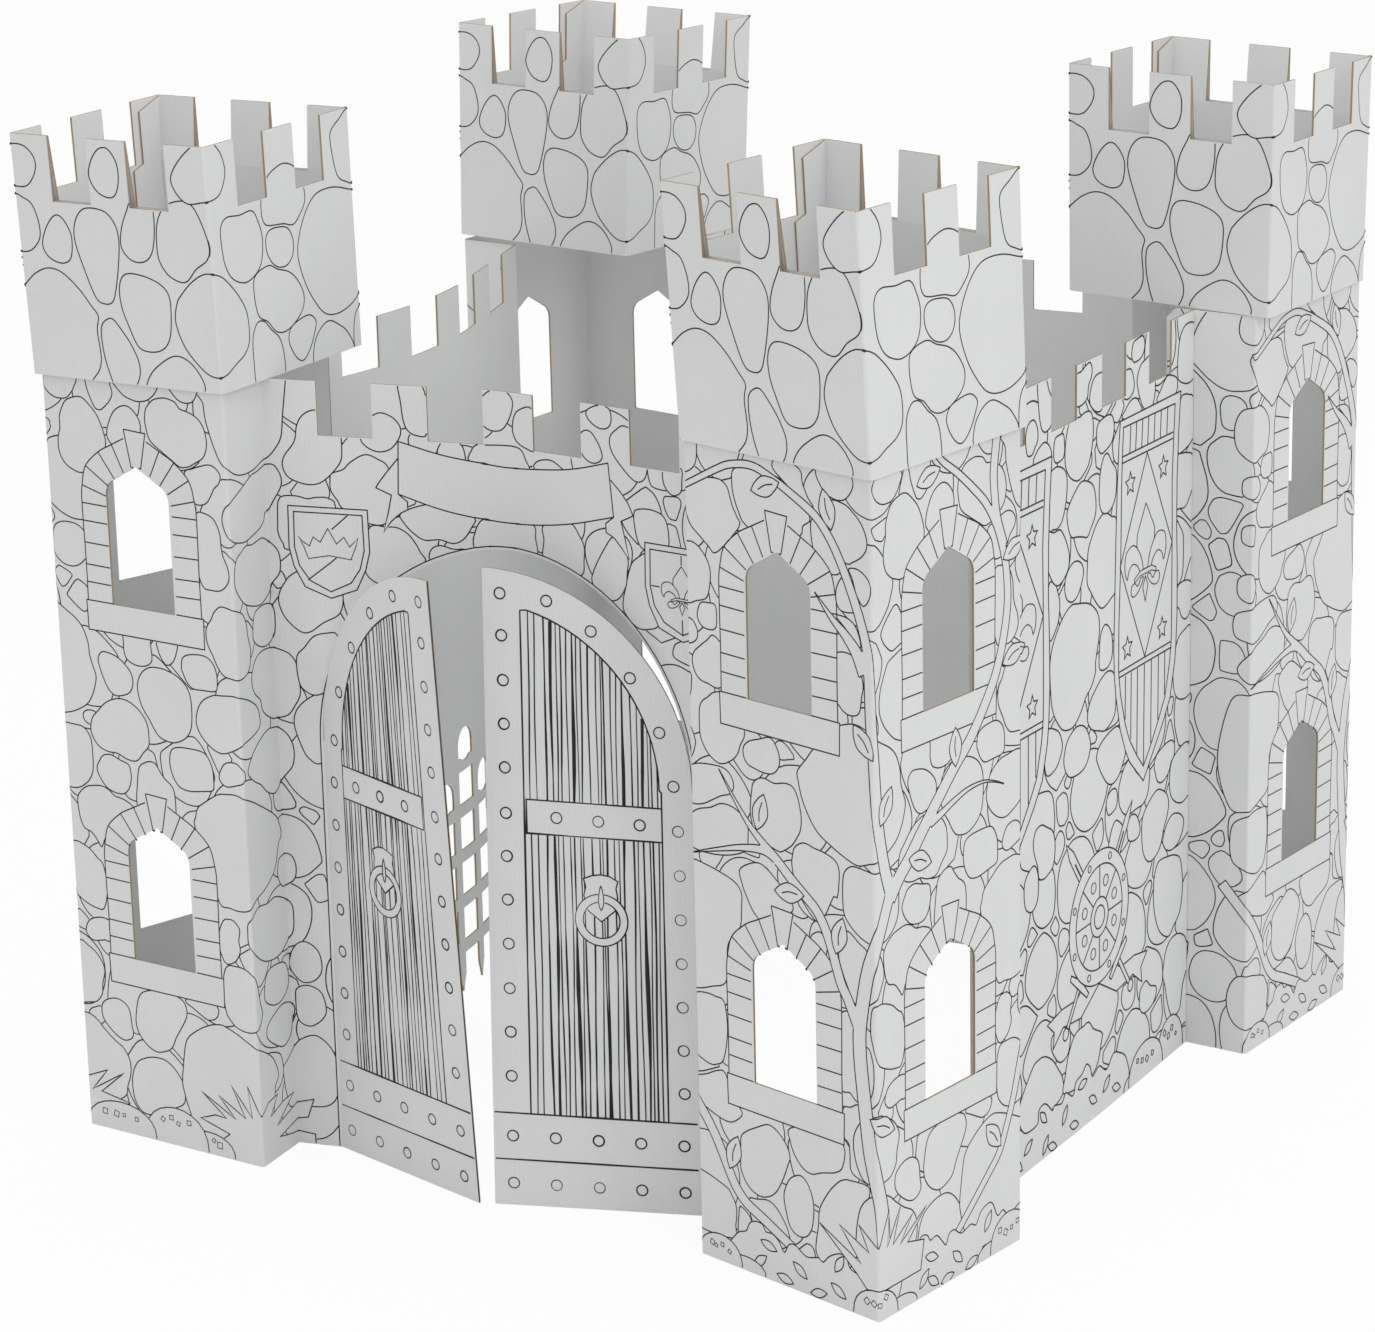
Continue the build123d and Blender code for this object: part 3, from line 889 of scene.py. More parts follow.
@dataclass(frozen=True)
class DoorLeaf:
    """Print of a door leaf: riveted frame, planks, three bands and a ring knocker."""

    # Distance of each plank joint from the hinge, and the width of its line
    PLANKS = (
        (226, 1.8), (217, 1.6), (204, 2.4), (194, 4.0), (187.5, 1.6), (181, 2.0), (172, 1.6), (165, 4.2),
        (158, 1.5), (153, 2.0), (142, 2.2), (131, 1.6), (126, 1.5), (122, 2.6), (111, 1.7), (104, 1.5),
        (97, 4.0), (84.5, 2.2), (77, 1.5), (69, 4.2), (62, 1.5), (57, 2.2), (50, 1.6),
    )
    RIVETS = trace(
        "264,858 263,801 262,740 262,680 262,620 262,557 262,497 262,436 262,374 262,311 262,249 262,186 "
        "198.5,852 137,815 84,755 45,683 27,610 22,548 21,486 21,424 21,362 21,300 21,238 21,176 262,100 "
        "202,100 142,100 83,100 23,100 262,32 202,32 142,32 83,32 23,32 191,555 132.5,554 75,553"
    )
    RIVET = 7.6
    FREE = 236.0
    HINGE = 44.0
    INNER = 240.0
    BAND = (531, 578)
    FOOT_BAND = 133
    FOOT_LINE = 66
    KNOCKER = (131, 416)
    DROP = trace("131,464 134.5,448 134,437 131,430 128,437 127.5,448")
    PLATE = trace("155,473 143,478 131,480 118,478 107,472 110,462 108,450 109,438")
    PLATE_FOOT = trace("111,431 131,414 151,430")
    PLATE_SIDE = trace("153,440 155,450 152,462")

    def draw(self, drawing: Drawing) -> None:
        """Draws the print from the hinge.

        Args:
            drawing: where it goes.
        """
        edge = arch(DOOR_RADIUS, DOOR_SPRING, DOOR_RADIUS - 2.5, 91, 180)
        drawing.only([(LEAF_WIDTH - 1, -2), (LEAF_WIDTH - 1, LEAF_HEIGHT - 1), *edge, (2.5, -2)])
        for x, z in self.RIVETS:
            drawing.shape(circle(x, z, self.RIVET), FINE_LINE)
        self.knocker(drawing)
        low, high = self.BAND
        stop = self.FREE - 3
        drawing.shape([(self.HINGE, low), (stop, low), (stop, high), (self.HINGE, high)], smooth=False)
        for z in (self.FOOT_BAND, self.FOOT_LINE):
            drawing.line([(0, z), (LEAF_WIDTH, z)], smooth=False)
        drawing.box(-5, -5, LEAF_WIDTH + 5, self.FOOT_BAND - 0.5)
        curve = [p for p in arch(DOOR_RADIUS, DOOR_SPRING, self.INNER + 3, 90, 180) if p[0] < self.FREE]
        inner = [(self.FREE, self.FOOT_BAND), (self.FREE, 837), *curve]
        inner += [(self.HINGE, 600), (self.HINGE, self.FOOT_BAND)]
        drawing.line(inner[:2], smooth=False)
        drawing.line(inner[1:], smooth=False)
        drawing.only(inner)
        rng = random.Random(7)
        for x, width in self.PLANKS:
            points: Points = []
            phase = rng.uniform(0, 6)
            for k in range(24):
                z = self.FOOT_BAND + 1 + k * 31
                points.append((x + 1.1 * math.sin(z / 95 + phase) + 0.4 * math.sin(z / 37 + 2 * phase), z))
            drawing.line(points, self.swell(width, phase))

    def swell(self, width: float, phase: float) -> Callable[[np.ndarray], np.ndarray]:
        """Rule for a plank joint that swells and thins along its height."""
        deep = 0.3 if width > 3 else 0.15
        return lambda z: width * (1 - deep + deep * np.sin(z / 58 + phase))

    def knocker(self, drawing: Drawing) -> None:
        """Draws the ring knocker on its plate.

        Args:
            drawing: where it goes.
        """
        drawing.shape(self.DROP, HAIR_LINE)
        ring = circle(*self.KNOCKER, 36.5, 28)
        hole = circle(*self.KNOCKER, 25.5, 24)
        drawing.line(ring, FINE_LINE, True)
        drawing.line(hole, FINE_LINE, True)
        drawing.cover(spline(ring, True).tolist() + [ring[0]] + spline(hole, True).tolist() + [hole[0]])
        drawing.line(self.PLATE_FOOT, FINE_LINE, smooth=False)
        drawing.line(self.PLATE_FOOT + self.PLATE_SIDE + self.PLATE, FINE_LINE, smooth=False)
        drawing.cover(self.PLATE + self.PLATE_FOOT + self.PLATE_SIDE)


def shield_outline(x0: float, x1: float, top: float, tip: float, inset: float) -> Points:
    """Works out a heater shield with a level top.

    Args:
        x0: left side.
        x1: right side.
        top: height of the top.
        tip: height of the tip.
        inset: how far the outline lies inside all of these.

    Returns:
        Its outline.
    """
    mid = (x0 + x1) / 2
    a, b, t, p = x0 + inset, x1 - inset, top - inset, tip + inset * 1.15
    low = p + (t - p) * 0.46
    right = [(b, t), (b + 1, low + 10), (b - 6, low - 16), (b - 20, p + 14)]
    left = [(a + 20, p + 14), (a + 5, low - 16), (a - 1, low + 10)]
    return [(a, t), *right, (mid, p), *left]


@dataclass(frozen=True)
class Lamp:
    """A square lamp: its place, what it looks at, its size in metres and its power in watts."""

    name: str
    spot: Triple
    aim: Triple
    size: float
    power: float
    colour: Triple = (0.97, 0.985, 1.0)

    def light(self) -> None:
        """Adds the lamp to the scene."""
        data = bpy.data.lights.new(self.name, "AREA")
        data.size = self.size
        data.energy = self.power
        data.color = self.colour
        lamp = bpy.data.objects.new(self.name, data)
        lamp.location = self.spot
        lamp.rotation_mode = "QUATERNION"
        lamp.rotation_quaternion = (Vector(self.aim) - Vector(self.spot)).to_track_quat("-Z", "Y")
        bpy.context.collection.objects.link(lamp)


@dataclass(frozen=True)
class Studio:
    """Floor, lamps and camera."""

    sensor: float = 36.0
    lens: float = 111.956
    reach: float = 100.0
    spot: Triple = (3.14792, -5.03227, 2.35962)
    turn: Triple = (73.51952, 1.24795, 32.15593)
    ground_size: float = 60.0
    ground_drop: float = 0.0006
    ground_shade: float = 0.86
    ground_glow: float = 0.94
    sky: float = 0.7
    lamps: tuple[Lamp, ...] = (
        Lamp("key", (5.5, -1.5, 4.2), (0.2, 0.0, 0.6), 3.0, 62.0),
        Lamp("fill", (-1.5, -6.0, 3.5), (0.0, 0.0, 0.6), 3.5, 10.0),
        Lamp("top", (0.0, 0.0, 5.0), (0.0, 0.0, 0.0), 3.5, 66.0),
    )

    def build(self) -> None:
        """Sets up the photograph."""
        self.camera()
        self.floor()
        self.world()
        for lamp in self.lamps:
            lamp.light()

    def camera(self) -> None:
        """Places the camera where the photograph was taken."""
        data = bpy.data.cameras.new("camera")
        data.sensor_fit = "HORIZONTAL"
        data.sensor_width = self.sensor
        data.lens = self.lens
        data.clip_end = self.reach
        camera = bpy.data.objects.new("camera", data)
        camera.location = self.spot
        camera.rotation_euler = tuple(math.radians(a) for a in self.turn)
        bpy.context.collection.objects.link(camera)
        bpy.context.scene.camera = camera

    def floor(self) -> None:
        """Adds a plain white ground that shows as white and still takes a soft shadow."""
        bpy.ops.mesh.primitive_plane_add(size=self.ground_size, location=(0, 0, -self.ground_drop))
        ground = bpy.context.active_object
        ground.name = "studio_floor"
        material = bpy.data.materials.new("studio_paper")
        material.use_nodes = True
        tree = material.node_tree
        shader = tree.nodes["Principled BSDF"]
        shader.inputs["Base Color"].default_value = (*(self.ground_shade,) * 3, 1)
        shader.inputs["Roughness"].default_value = 0.9
        path = tree.nodes.new("ShaderNodeLightPath")
        glow = tree.nodes.new("ShaderNodeEmission")
        mix = tree.nodes.new("ShaderNodeMixShader")
        part = calculated(tree, "MULTIPLY", path.outputs["Is Camera Ray"], self.ground_glow)
        tree.links.new(part, mix.inputs[0])
        tree.links.new(shader.outputs[0], mix.inputs[1])
        tree.links.new(glow.outputs[0], mix.inputs[2])
        tree.links.new(mix.outputs[0], tree.nodes["Material Output"].inputs["Surface"])
        ground.data.materials.append(material)

    def world(self) -> None:
        """Adds a soft light from all round that the camera sees as plain white."""
        world = bpy.data.worlds.new("studio")
        bpy.context.scene.world = world
        world.use_nodes = True
        tree = world.node_tree
        back = tree.nodes["Background"]
        white = tree.nodes.new("ShaderNodeBackground")
        for node, strength in ((back, self.sky), (white, 1.0)):
            node.inputs["Color"].default_value = (1, 1, 1, 1)
            node.inputs["Strength"].default_value = strength
        path = tree.nodes.new("ShaderNodeLightPath")
        mix = tree.nodes.new("ShaderNodeMixShader")
        tree.links.new(path.outputs["Is Camera Ray"], mix.inputs[0])
        tree.links.new(back.outputs[0], mix.inputs[1])
        tree.links.new(white.outputs[0], mix.inputs[2])
        tree.links.new(mix.outputs[0], tree.nodes["World Output"].inputs["Surface"])


# Materials


def calculated(
    tree: bpy.types.NodeTree, operation: str, *inputs: bpy.types.NodeSocket | float
) -> bpy.types.NodeSocket:
    """Adds a node that works out a number.

    Args:
        tree: the material's nodes.
        operation: what the node does, by Blender's name for it.
        inputs: what goes in, in order, each a number or what another node gives.

    Returns:
        What comes out.
    """
    node = tree.nodes.new("ShaderNodeMath")
    node.operation = operation
    for socket, given in zip(node.inputs, inputs):
        if isinstance(given, (int, float)):
            socket.default_value = given
        else:
            tree.links.new(given, socket)
    return node.outputs[0]


def paper_material(name: str, roughness: float, shine: float) -> tuple[bpy.types.Material, bpy.types.Node]:
    """Starts a material of plain paper.

    Args:
        name: its name.
        roughness: how rough it is.
        shine: how strongly it mirrors.

    Returns:
        The material and its shader.
    """
    material = bpy.data.materials.new(name)
    material.use_nodes = True
    shader = material.node_tree.nodes["Principled BSDF"]
    shader.inputs["Roughness"].default_value = roughness
    shader.inputs["Specular IOR Level"].default_value = shine
    return material, shader


def roughen(
    tree: bpy.types.NodeTree, height: bpy.types.NodeSocket, strength: float, distance: float
) -> None:
    """Gives a material a relief.

    Args:
        tree: the material's nodes.
        height: the relief's height.
        strength: how much of it shows.
        distance: how high it is in metres.
    """
    bump = tree.nodes.new("ShaderNodeBump")
    bump.inputs["Strength"].default_value = strength
    bump.inputs["Distance"].default_value = distance
    tree.links.new(height, bump.inputs["Height"])
    tree.links.new(bump.outputs["Normal"], tree.nodes["Principled BSDF"].inputs["Normal"])


def fibre_group() -> bpy.types.NodeTree:
    """Node group for the mottle of paper: fine fibres over slow clouds.

    Returns:
        A group with Size and Depth in, and Tone and Relief out.
    """
    name = "paper_fibres"
    if name in bpy.data.node_groups:
        return bpy.data.node_groups[name]
    tree = bpy.data.node_groups.new(name, "ShaderNodeTree")
    for label, value in (("Size", 420.0), ("Depth", 0.07)):
        socket = tree.interface.new_socket(label, in_out="INPUT", socket_type="NodeSocketFloat")
        socket.default_value = value
    for label in ("Tone", "Relief"):
        tree.interface.new_socket(label, in_out="OUTPUT", socket_type="NodeSocketFloat")
    add, link = tree.nodes.new, tree.links.new
    given = add("NodeGroupInput")
    result = add("NodeGroupOutput")
    place = add("ShaderNodeTexCoord")
    fibre = add("ShaderNodeTexNoise")
    fibre.inputs["Detail"].default_value = 4.0
    cloud = add("ShaderNodeTexNoise")
    cloud.inputs["Scale"].default_value = 7.0
    cloud.inputs["Detail"].default_value = 3.0
    link(given.outputs["Size"], fibre.inputs["Scale"])
    for noise in (fibre, cloud):
        link(place.outputs["Object"], noise.inputs["Vector"])
    total = calculated(tree, "ADD", fibre.outputs["Fac"], cloud.outputs["Fac"])
    centred = calculated(tree, "SUBTRACT", total, 1.0)
    tone = calculated(tree, "MULTIPLY_ADD", centred, given.outputs["Depth"], 1.0)
    link(tone, result.inputs["Tone"])
    link(fibre.outputs["Fac"], result.inputs["Relief"])
    return tree


def fibres(tree: bpy.types.NodeTree, size: float, depth: float) -> bpy.types.Node:
    """Places the paper fibres in a material.

    Args:
        tree: the material's nodes.
        size: how fine the fibres are.
        depth: how far the tone varies.

    Returns:
        The group's node.
    """
    node = tree.nodes.new("ShaderNodeGroup")
    node.node_tree = fibre_group()
    node.inputs["Size"].default_value = size
    node.inputs["Depth"].default_value = depth
    return node


def toned(tree: bpy.types.NodeTree, colour: Triple, tone: bpy.types.NodeSocket) -> bpy.types.NodeSocket:
    """Makes a colour lighter and darker.

    Args:
        tree: the material's nodes.
        colour: the colour.
        tone: what it is multiplied by.

    Returns:
        The varied colour.
    """
    scale = tree.nodes.new("ShaderNodeVectorMath")
    scale.operation = "SCALE"
    scale.inputs[0].default_value = colour
    tree.links.new(tone, scale.inputs["Scale"])
    return scale.outputs["Vector"]


@dataclass(frozen=True)
class RawEdgeFinish:
    """Brown cut edge of corrugated board, with coarse fibres."""

    kraft: Triple = (0.40, 0.30, 0.21)
    fineness: float = 700.0
    mottle: float = 0.5

    def material(self) -> bpy.types.Material:
        """Builds the finish.

        Returns:
            The material.
        """
        material, shader = paper_material("raw_board_edge", 0.85, 0.15)
        tree = material.node_tree
        paper = fibres(tree, self.fineness, self.mottle)
        tree.links.new(toned(tree, self.kraft, paper.outputs["Tone"]), shader.inputs["Base Color"])
        roughen(tree, paper.outputs["Relief"], 0.6, 0.0003)
        return material


@dataclass(frozen=True)
class InkFinish:
    """Black printing ink on card."""

    shade: float = 0.012
    darkest: float = 0.6
    lightest: float = 1.8
    grain: float = 900.0

    def material(self) -> bpy.types.Material:
        """Builds the finish.

        Returns:
            The material.
        """
        material, shader = paper_material("printing_ink", 0.55, 0.3)
        tree = material.node_tree
        place = tree.nodes.new("ShaderNodeTexCoord")
        noise = tree.nodes.new("ShaderNodeTexNoise")
        noise.inputs["Scale"].default_value = self.grain
        noise.inputs["Detail"].default_value = 2.0
        ramp = tree.nodes.new("ShaderNodeValToRGB")
        for element, share in zip(ramp.color_ramp.elements, (self.darkest, self.lightest)):
            element.color = (self.shade * share,) * 3 + (1,)
        tree.links.new(place.outputs["Object"], noise.inputs["Vector"])
        tree.links.new(noise.outputs["Fac"], ramp.inputs["Fac"])
        tree.links.new(ramp.outputs["Color"], shader.inputs["Base Color"])
        return material


@dataclass(frozen=True)
class BoardFinish:
    """White-faced corrugated board: flutes in relief and as painted shade bands in the colour, fibres, and
    brown level cuts.
    """

    white: Triple = (0.775, 0.778, 0.775)
    kraft: Triple = (0.36, 0.26, 0.17)
    pitch: float = 6.35
    painted_flute_shade: float = 0.012
    # How deep the flutes' painted shade bands run in the board's colour, besides their bump
    fineness: float = 420.0
    mottle: float = 0.09
    level: float = 0.7
    relief: float = 0.35

    def material(self) -> bpy.types.Material:
        """Builds the finish.

        Returns:
            The material.
        """
        material, shader = paper_material("white_corrugated_board", 0.7, 0.25)
        tree = material.node_tree
        add = tree.nodes.new
        link = tree.links.new
        place = add("ShaderNodeTexCoord")
        shape = add("ShaderNodeNewGeometry")
        across = add("ShaderNodeVectorMath")
        across.operation = "CROSS_PRODUCT"
        across.inputs[0].default_value = (0, 0, 1)
        link(shape.outputs["True Normal"], across.inputs[1])
        along = add("ShaderNodeVectorMath")
        along.operation = "DOT_PRODUCT"
        link(place.outputs["Object"], along.inputs[0])
        link(across.outputs["Vector"], along.inputs[1])
        wave = calculated(tree, "MULTIPLY", along.outputs["Value"], math.tau / (self.pitch * MM))
        flute = calculated(tree, "SINE", wave)
        paper = fibres(tree, self.fineness, self.mottle)
        # The flutes' light and dark bands are painted shade in the colour, in step with the flute bump below
        flute_shaded_tone = calculated(tree, "MULTIPLY_ADD", flute, self.painted_flute_shade, paper.outputs["Tone"])
        face = toned(tree, self.white, flute_shaded_tone)
        split = add("ShaderNodeSeparateXYZ")
        link(shape.outputs["True Normal"], split.inputs[0])
        upward = calculated(tree, "ABSOLUTE", split.outputs["Z"])
        mix = add("ShaderNodeMix")
        mix.data_type = "RGBA"
        link(calculated(tree, "GREATER_THAN", upward, self.level), mix.inputs["Factor"])
        link(face, mix.inputs[6])
        mix.inputs[7].default_value = (*self.kraft, 1)
        link(mix.outputs[2], shader.inputs["Base Color"])
        height = calculated(tree, "MULTIPLY_ADD", flute, self.relief, paper.outputs["Relief"])
        roughen(tree, height, 0.35, 0.0002)
        return material


# The castle's print, piece by piece


FRONT_SHEET = SheetSkin(
    Corner.FRONT_LEFT, Corner.FRONT_RIGHT, Corner.REAR_RIGHT,
    (Bend(0.442, 52.9, 60.0), Bend(0.508, 51.8, 60.0)), (Bend(0.6, -3.0, 4000.0),),
)
REAR_SHEET = SheetSkin(
    Corner.REAR_RIGHT, Corner.REAR_LEFT, Corner.FRONT_LEFT,
    (Bend(0.111, -3.5, 900.0), Bend(0.5, -8.0, 2500.0)), (Bend(0.626, 80.4, 750.0),),
)


@dataclass
class CapPrint:
    """Stones of the tower caps: one print that all four caps share."""

    STONES = outlines(
        """
        5,259 25,262 40,282 40,300 26,314 5,317 -20,310 -30,290 -18,266;
        132,281 138,302 152,318 168,319 181,300 181,274 172,256 158,254 142,262;
        270,286 283,308 308,330 335,341 360,322 370,300 368,282 352,262 318,257 295,254 278,266;
        443,222 446,246 460,267 480,277 502,280 525,270 540,245 542,222 528,205 512,195 490,200 460,203
        448,208;
        610,285 612,305 632,318 655,330 684,318 694,285 686,250 658,228 640,231 620,244;
        0,170 20,173 36,190 37,212 28,236 14,244 0,249 -24,244 -34,212 -26,178;
        40,182 47,202 60,219 72,224 84,214 92,195 88,168 76,159 60,160 46,168;
        97,192 101,218 116,235 140,237 158,231 170,215 173,195 169,165 160,128 152,111 138,108 124,116
        108,155;
        176,190 180,215 192,240 205,262 230,262 236,236 233,200 223,177 205,169 187,174;
        237,190 240,222 252,245 268,254 290,257 305,248 318,222 325,196 319,180 300,167 284,150 270,148
        252,156 240,172;
        -40,96 -20,112 0,123 22,141 46,150 70,145 96,125 114,104 125,90 121,70 123,30 110,6 70,-20 -20,-24
        -44,40;
        129,76 140,87 150,88 162,76 178,55 189,30 186,8 170,-10 146,-8 134,18 128,48;
        166,128 172,146 186,153 215,150 240,140 251,124 250,90 244,66 230,52 208,48 190,54 177,80 168,104;
        199,-4 208,18 230,36 252,46 272,42 290,26 298,2 270,-24 222,-22;
        258,92 262,116 270,129 292,150 316,162 340,158 360,144 382,120 395,96 396,62 384,44 360,33 340,24
        314,23 294,34 270,60;
        351,195 352,220 366,231 394,229 422,230 434,214 441,190 436,160 420,144 396,138 370,148 356,168;
        448,185 456,196 474,198 498,193 509,176 507,156 494,144 478,143 462,150 450,166;
        414,132 420,143 436,149 454,150 470,142 494,134 512,120 525,98 521,78 500,62 476,55 456,60 440,76
        422,86 415,106;
        518,150 525,180 545,210 570,227 606,229 640,221 680,205 694,150 684,104 655,74 630,60 598,55 570,62
        548,84 530,112;
        402,30 404,62 416,79 432,78 446,64 464,48 471,22 468,-6 436,-16 406,-8;
        484,44 492,58 514,65 536,66 549,55 545,42 533,22 516,8 502,12 489,28;
        538,-2 542,24 558,42 580,49 604,38 622,24 634,-2 600,-22 556,-20;
        636,-4 638,34 650,54 676,62 700,40 706,4 680,-16 650,-16
        """
    )
    DIVISIONS = 5
    GAPS = (1, 3)
    INSET = 0.6
    MARGIN = 300

    def drawing(self) -> Drawing:
        """Draws the print round the four faces.

        Returns:
            The drawing.
        """
        d = Drawing()
        whole = 4 * CAP_WIDTH
        step = CAP_WIDTH / self.DIVISIONS
        inset, margin = self.INSET, self.MARGIN
        d.box(-margin, CAP_HEIGHT - inset, whole + margin, CAP_HEIGHT + margin)
        d.box(-margin, -margin, whole + margin, inset)
        d.box(-margin, -margin, 0, CAP_HEIGHT + margin)
        d.box(whole, -margin, whole + margin, CAP_HEIGHT + margin)
        for face in range(4):
            for gap in self.GAPS:
                x = face * CAP_WIDTH + gap * step
                d.box(x - inset, CAP_HEIGHT - CAP_GAP_DEPTH - inset, x + step + inset, CAP_HEIGHT + 60)
        for outline in self.STONES:
            d.shape(outline)
        for outline in self.STONES:
            if min(x for x, _ in outline) < 0:
                d.shape([(x + whole, z) for x, z in outline])
        Stones(11, 58.0, 18.0, 9.0).fill(d, 2 * CAP_WIDTH + 30, -20, whole - 20, CAP_HEIGHT + 10)
        return d


def limb(points: Points, start: float, end: float) -> np.ndarray:
    """Works out a stem.

    Args:
        points: places that its middle goes through.
        start: its width at the first of them.
        end: its width at the last.

    Returns:
        Rows of (distance, height) of its closed outline.
    """
    p = spline(points, False, 6.0)
    along = np.gradient(p, axis=0)
    along /= np.hypot(along[:, 0], along[:, 1])[:, None]
    side = np.stack([-along[:, 1], along[:, 0]], 1) * (np.linspace(start, end, len(p)) / 2)[:, None]
    return np.vstack([p + side, (p - side)[::-1]])


def leaf(
    drawing: Drawing, panel: Panel, x: float, z: float, degrees: float, length: float, width: float
) -> None:
    """Draws a pointed leaf, with a midrib if it is a large one.

    Args:
        drawing: where it goes.
        panel: the stretch of skin that it lies on.
        x: distance of its middle.
        z: height of its middle.
        degrees: how it is turned.
        length: from tip to tip.
        width: across.
    """
    c, s = math.cos(math.radians(degrees)), math.sin(math.radians(degrees))

    def at(points: Points) -> Points:
        return panel.to([(x + a * c - b * s, z + a * s + b * c) for a, b in points])

    h, w = length / 2, width / 2
    if length > 40:
        drawing.line(at([(-h * 0.5, -w * 0.1), (0, w * 0.12), (h * 0.55, 0.0)]), LINE)
    upper = [(-h, 0.0), (-h * 0.6, w * 0.62), (0.0, w), (h * 0.6, w * 0.6), (h, 0.0)]
    lower = [(h, 0.0), (h * 0.6, -w * 0.6), (0.0, -w), (-h * 0.6, -w * 0.62), (-h, 0.0)]
    outline = spline(upper, False).tolist() + spline(lower, False).tolist()
    drawing.shape(at(outline), LINE, smooth=False)


def star(x: float, z: float, radius: float) -> Points:
    """Points of a five-pointed star."""
    tips = [(math.pi * k / 5, radius * 0.48 if k % 2 else radius) for k in range(10)]
    return [(x + r * math.sin(a), z + r * math.cos(a)) for a, r in tips]


@dataclass(frozen=True)
class Pebble:
    """Half-egg at the foot with a few flecks."""

    x: float
    half: float
    height: float

    def draw(self, drawing: Drawing, panel: Panel) -> None:
        """Draws the pebble, with four flecks if it is a large one.

        Args:
            drawing: where it goes.
            panel: the stretch of skin that it lies on.
        """
        if self.height > 30:
            rng = random.Random(int(self.x) + 40)
            for k in range(4):
                fx = self.x + self.half * (-0.45 + 0.28 * k) + rng.uniform(-3, 3)
                fz = self.height * rng.uniform(0.45, 0.72)
                r = rng.uniform(3.2, 6.5)
                turn = rng.uniform(0, 1)
                angles = [turn + q * 1.57 for q in range(4)]
                corners = [(fx + r * math.cos(a), fz + r * math.sin(a)) for a in angles]
                drawing.shape(panel.to(corners), HAIR_LINE, smooth=False)
        arc = [
            (self.x + self.half * math.cos(a), self.height * math.sin(a) ** 0.8)
            for a in (math.pi * k / 12 for k in range(13))
        ]
        closed = [(self.x + self.half, UNDERGROUND), *arc, (self.x - self.half, UNDERGROUND)]
        drawing.shape(panel.to(closed), smooth=False)


@dataclass(frozen=True)
class Growth:
    """Plants on the board: pebbles, bushes with small leaves, a tuft of grass and climbing stems."""

    pebbles: tuple[Pebble, ...] = ()
    bushes: tuple[str, ...] = ()
    bush_leaves: tuple[tuple[float, float, float], ...] = ()
    tufts: tuple[str, ...] = ()
    leaves: tuple[tuple[float, float, float], ...] = ()
    stems: tuple[tuple[str, float, float], ...] = ()

    def draw(self, drawing: Drawing, panel: Panel) -> None:
        """Draws the plants, the nearest first.

        Args:
            drawing: where they go.
            panel: the stretch of skin that they grow on.
        """
        for pebble in self.pebbles:
            pebble.draw(drawing, panel)
        for x, z, degrees in self.bush_leaves:
            leaf(drawing, panel, x, z, degrees, 30.0, 13.0)
        for row in self.tufts:
            drawing.shape(panel.to(trace(row)), smooth=False)
        for row in self.bushes:
            top = trace(row)
            closed = [(top[0][0], UNDERGROUND), *spline(top, False).tolist(), (top[-1][0], UNDERGROUND)]
            drawing.shape(panel.to(closed), smooth=False)
        for x, z, degrees in self.leaves:
            leaf(drawing, panel, x, z, degrees, 52.0, 27.0)
        drawing.joined([limb(panel.to(trace(row)), a, b) for row, a, b in self.stems])


@dataclass(frozen=True)
class Crop:
    """Enlarged crop of the photo's unfolded tower, in which outlines were read in pixels."""

    left: float
    top: float
    enlarged: float
    ceiling: float

    def outline(self, pixels: Points) -> Points:
        """Outline in millimetres from the tower's corner and the ground."""
        size = self.enlarged
        return [((x - self.left) / size, self.ceiling - (y - self.top) / size) for x, y in pixels]


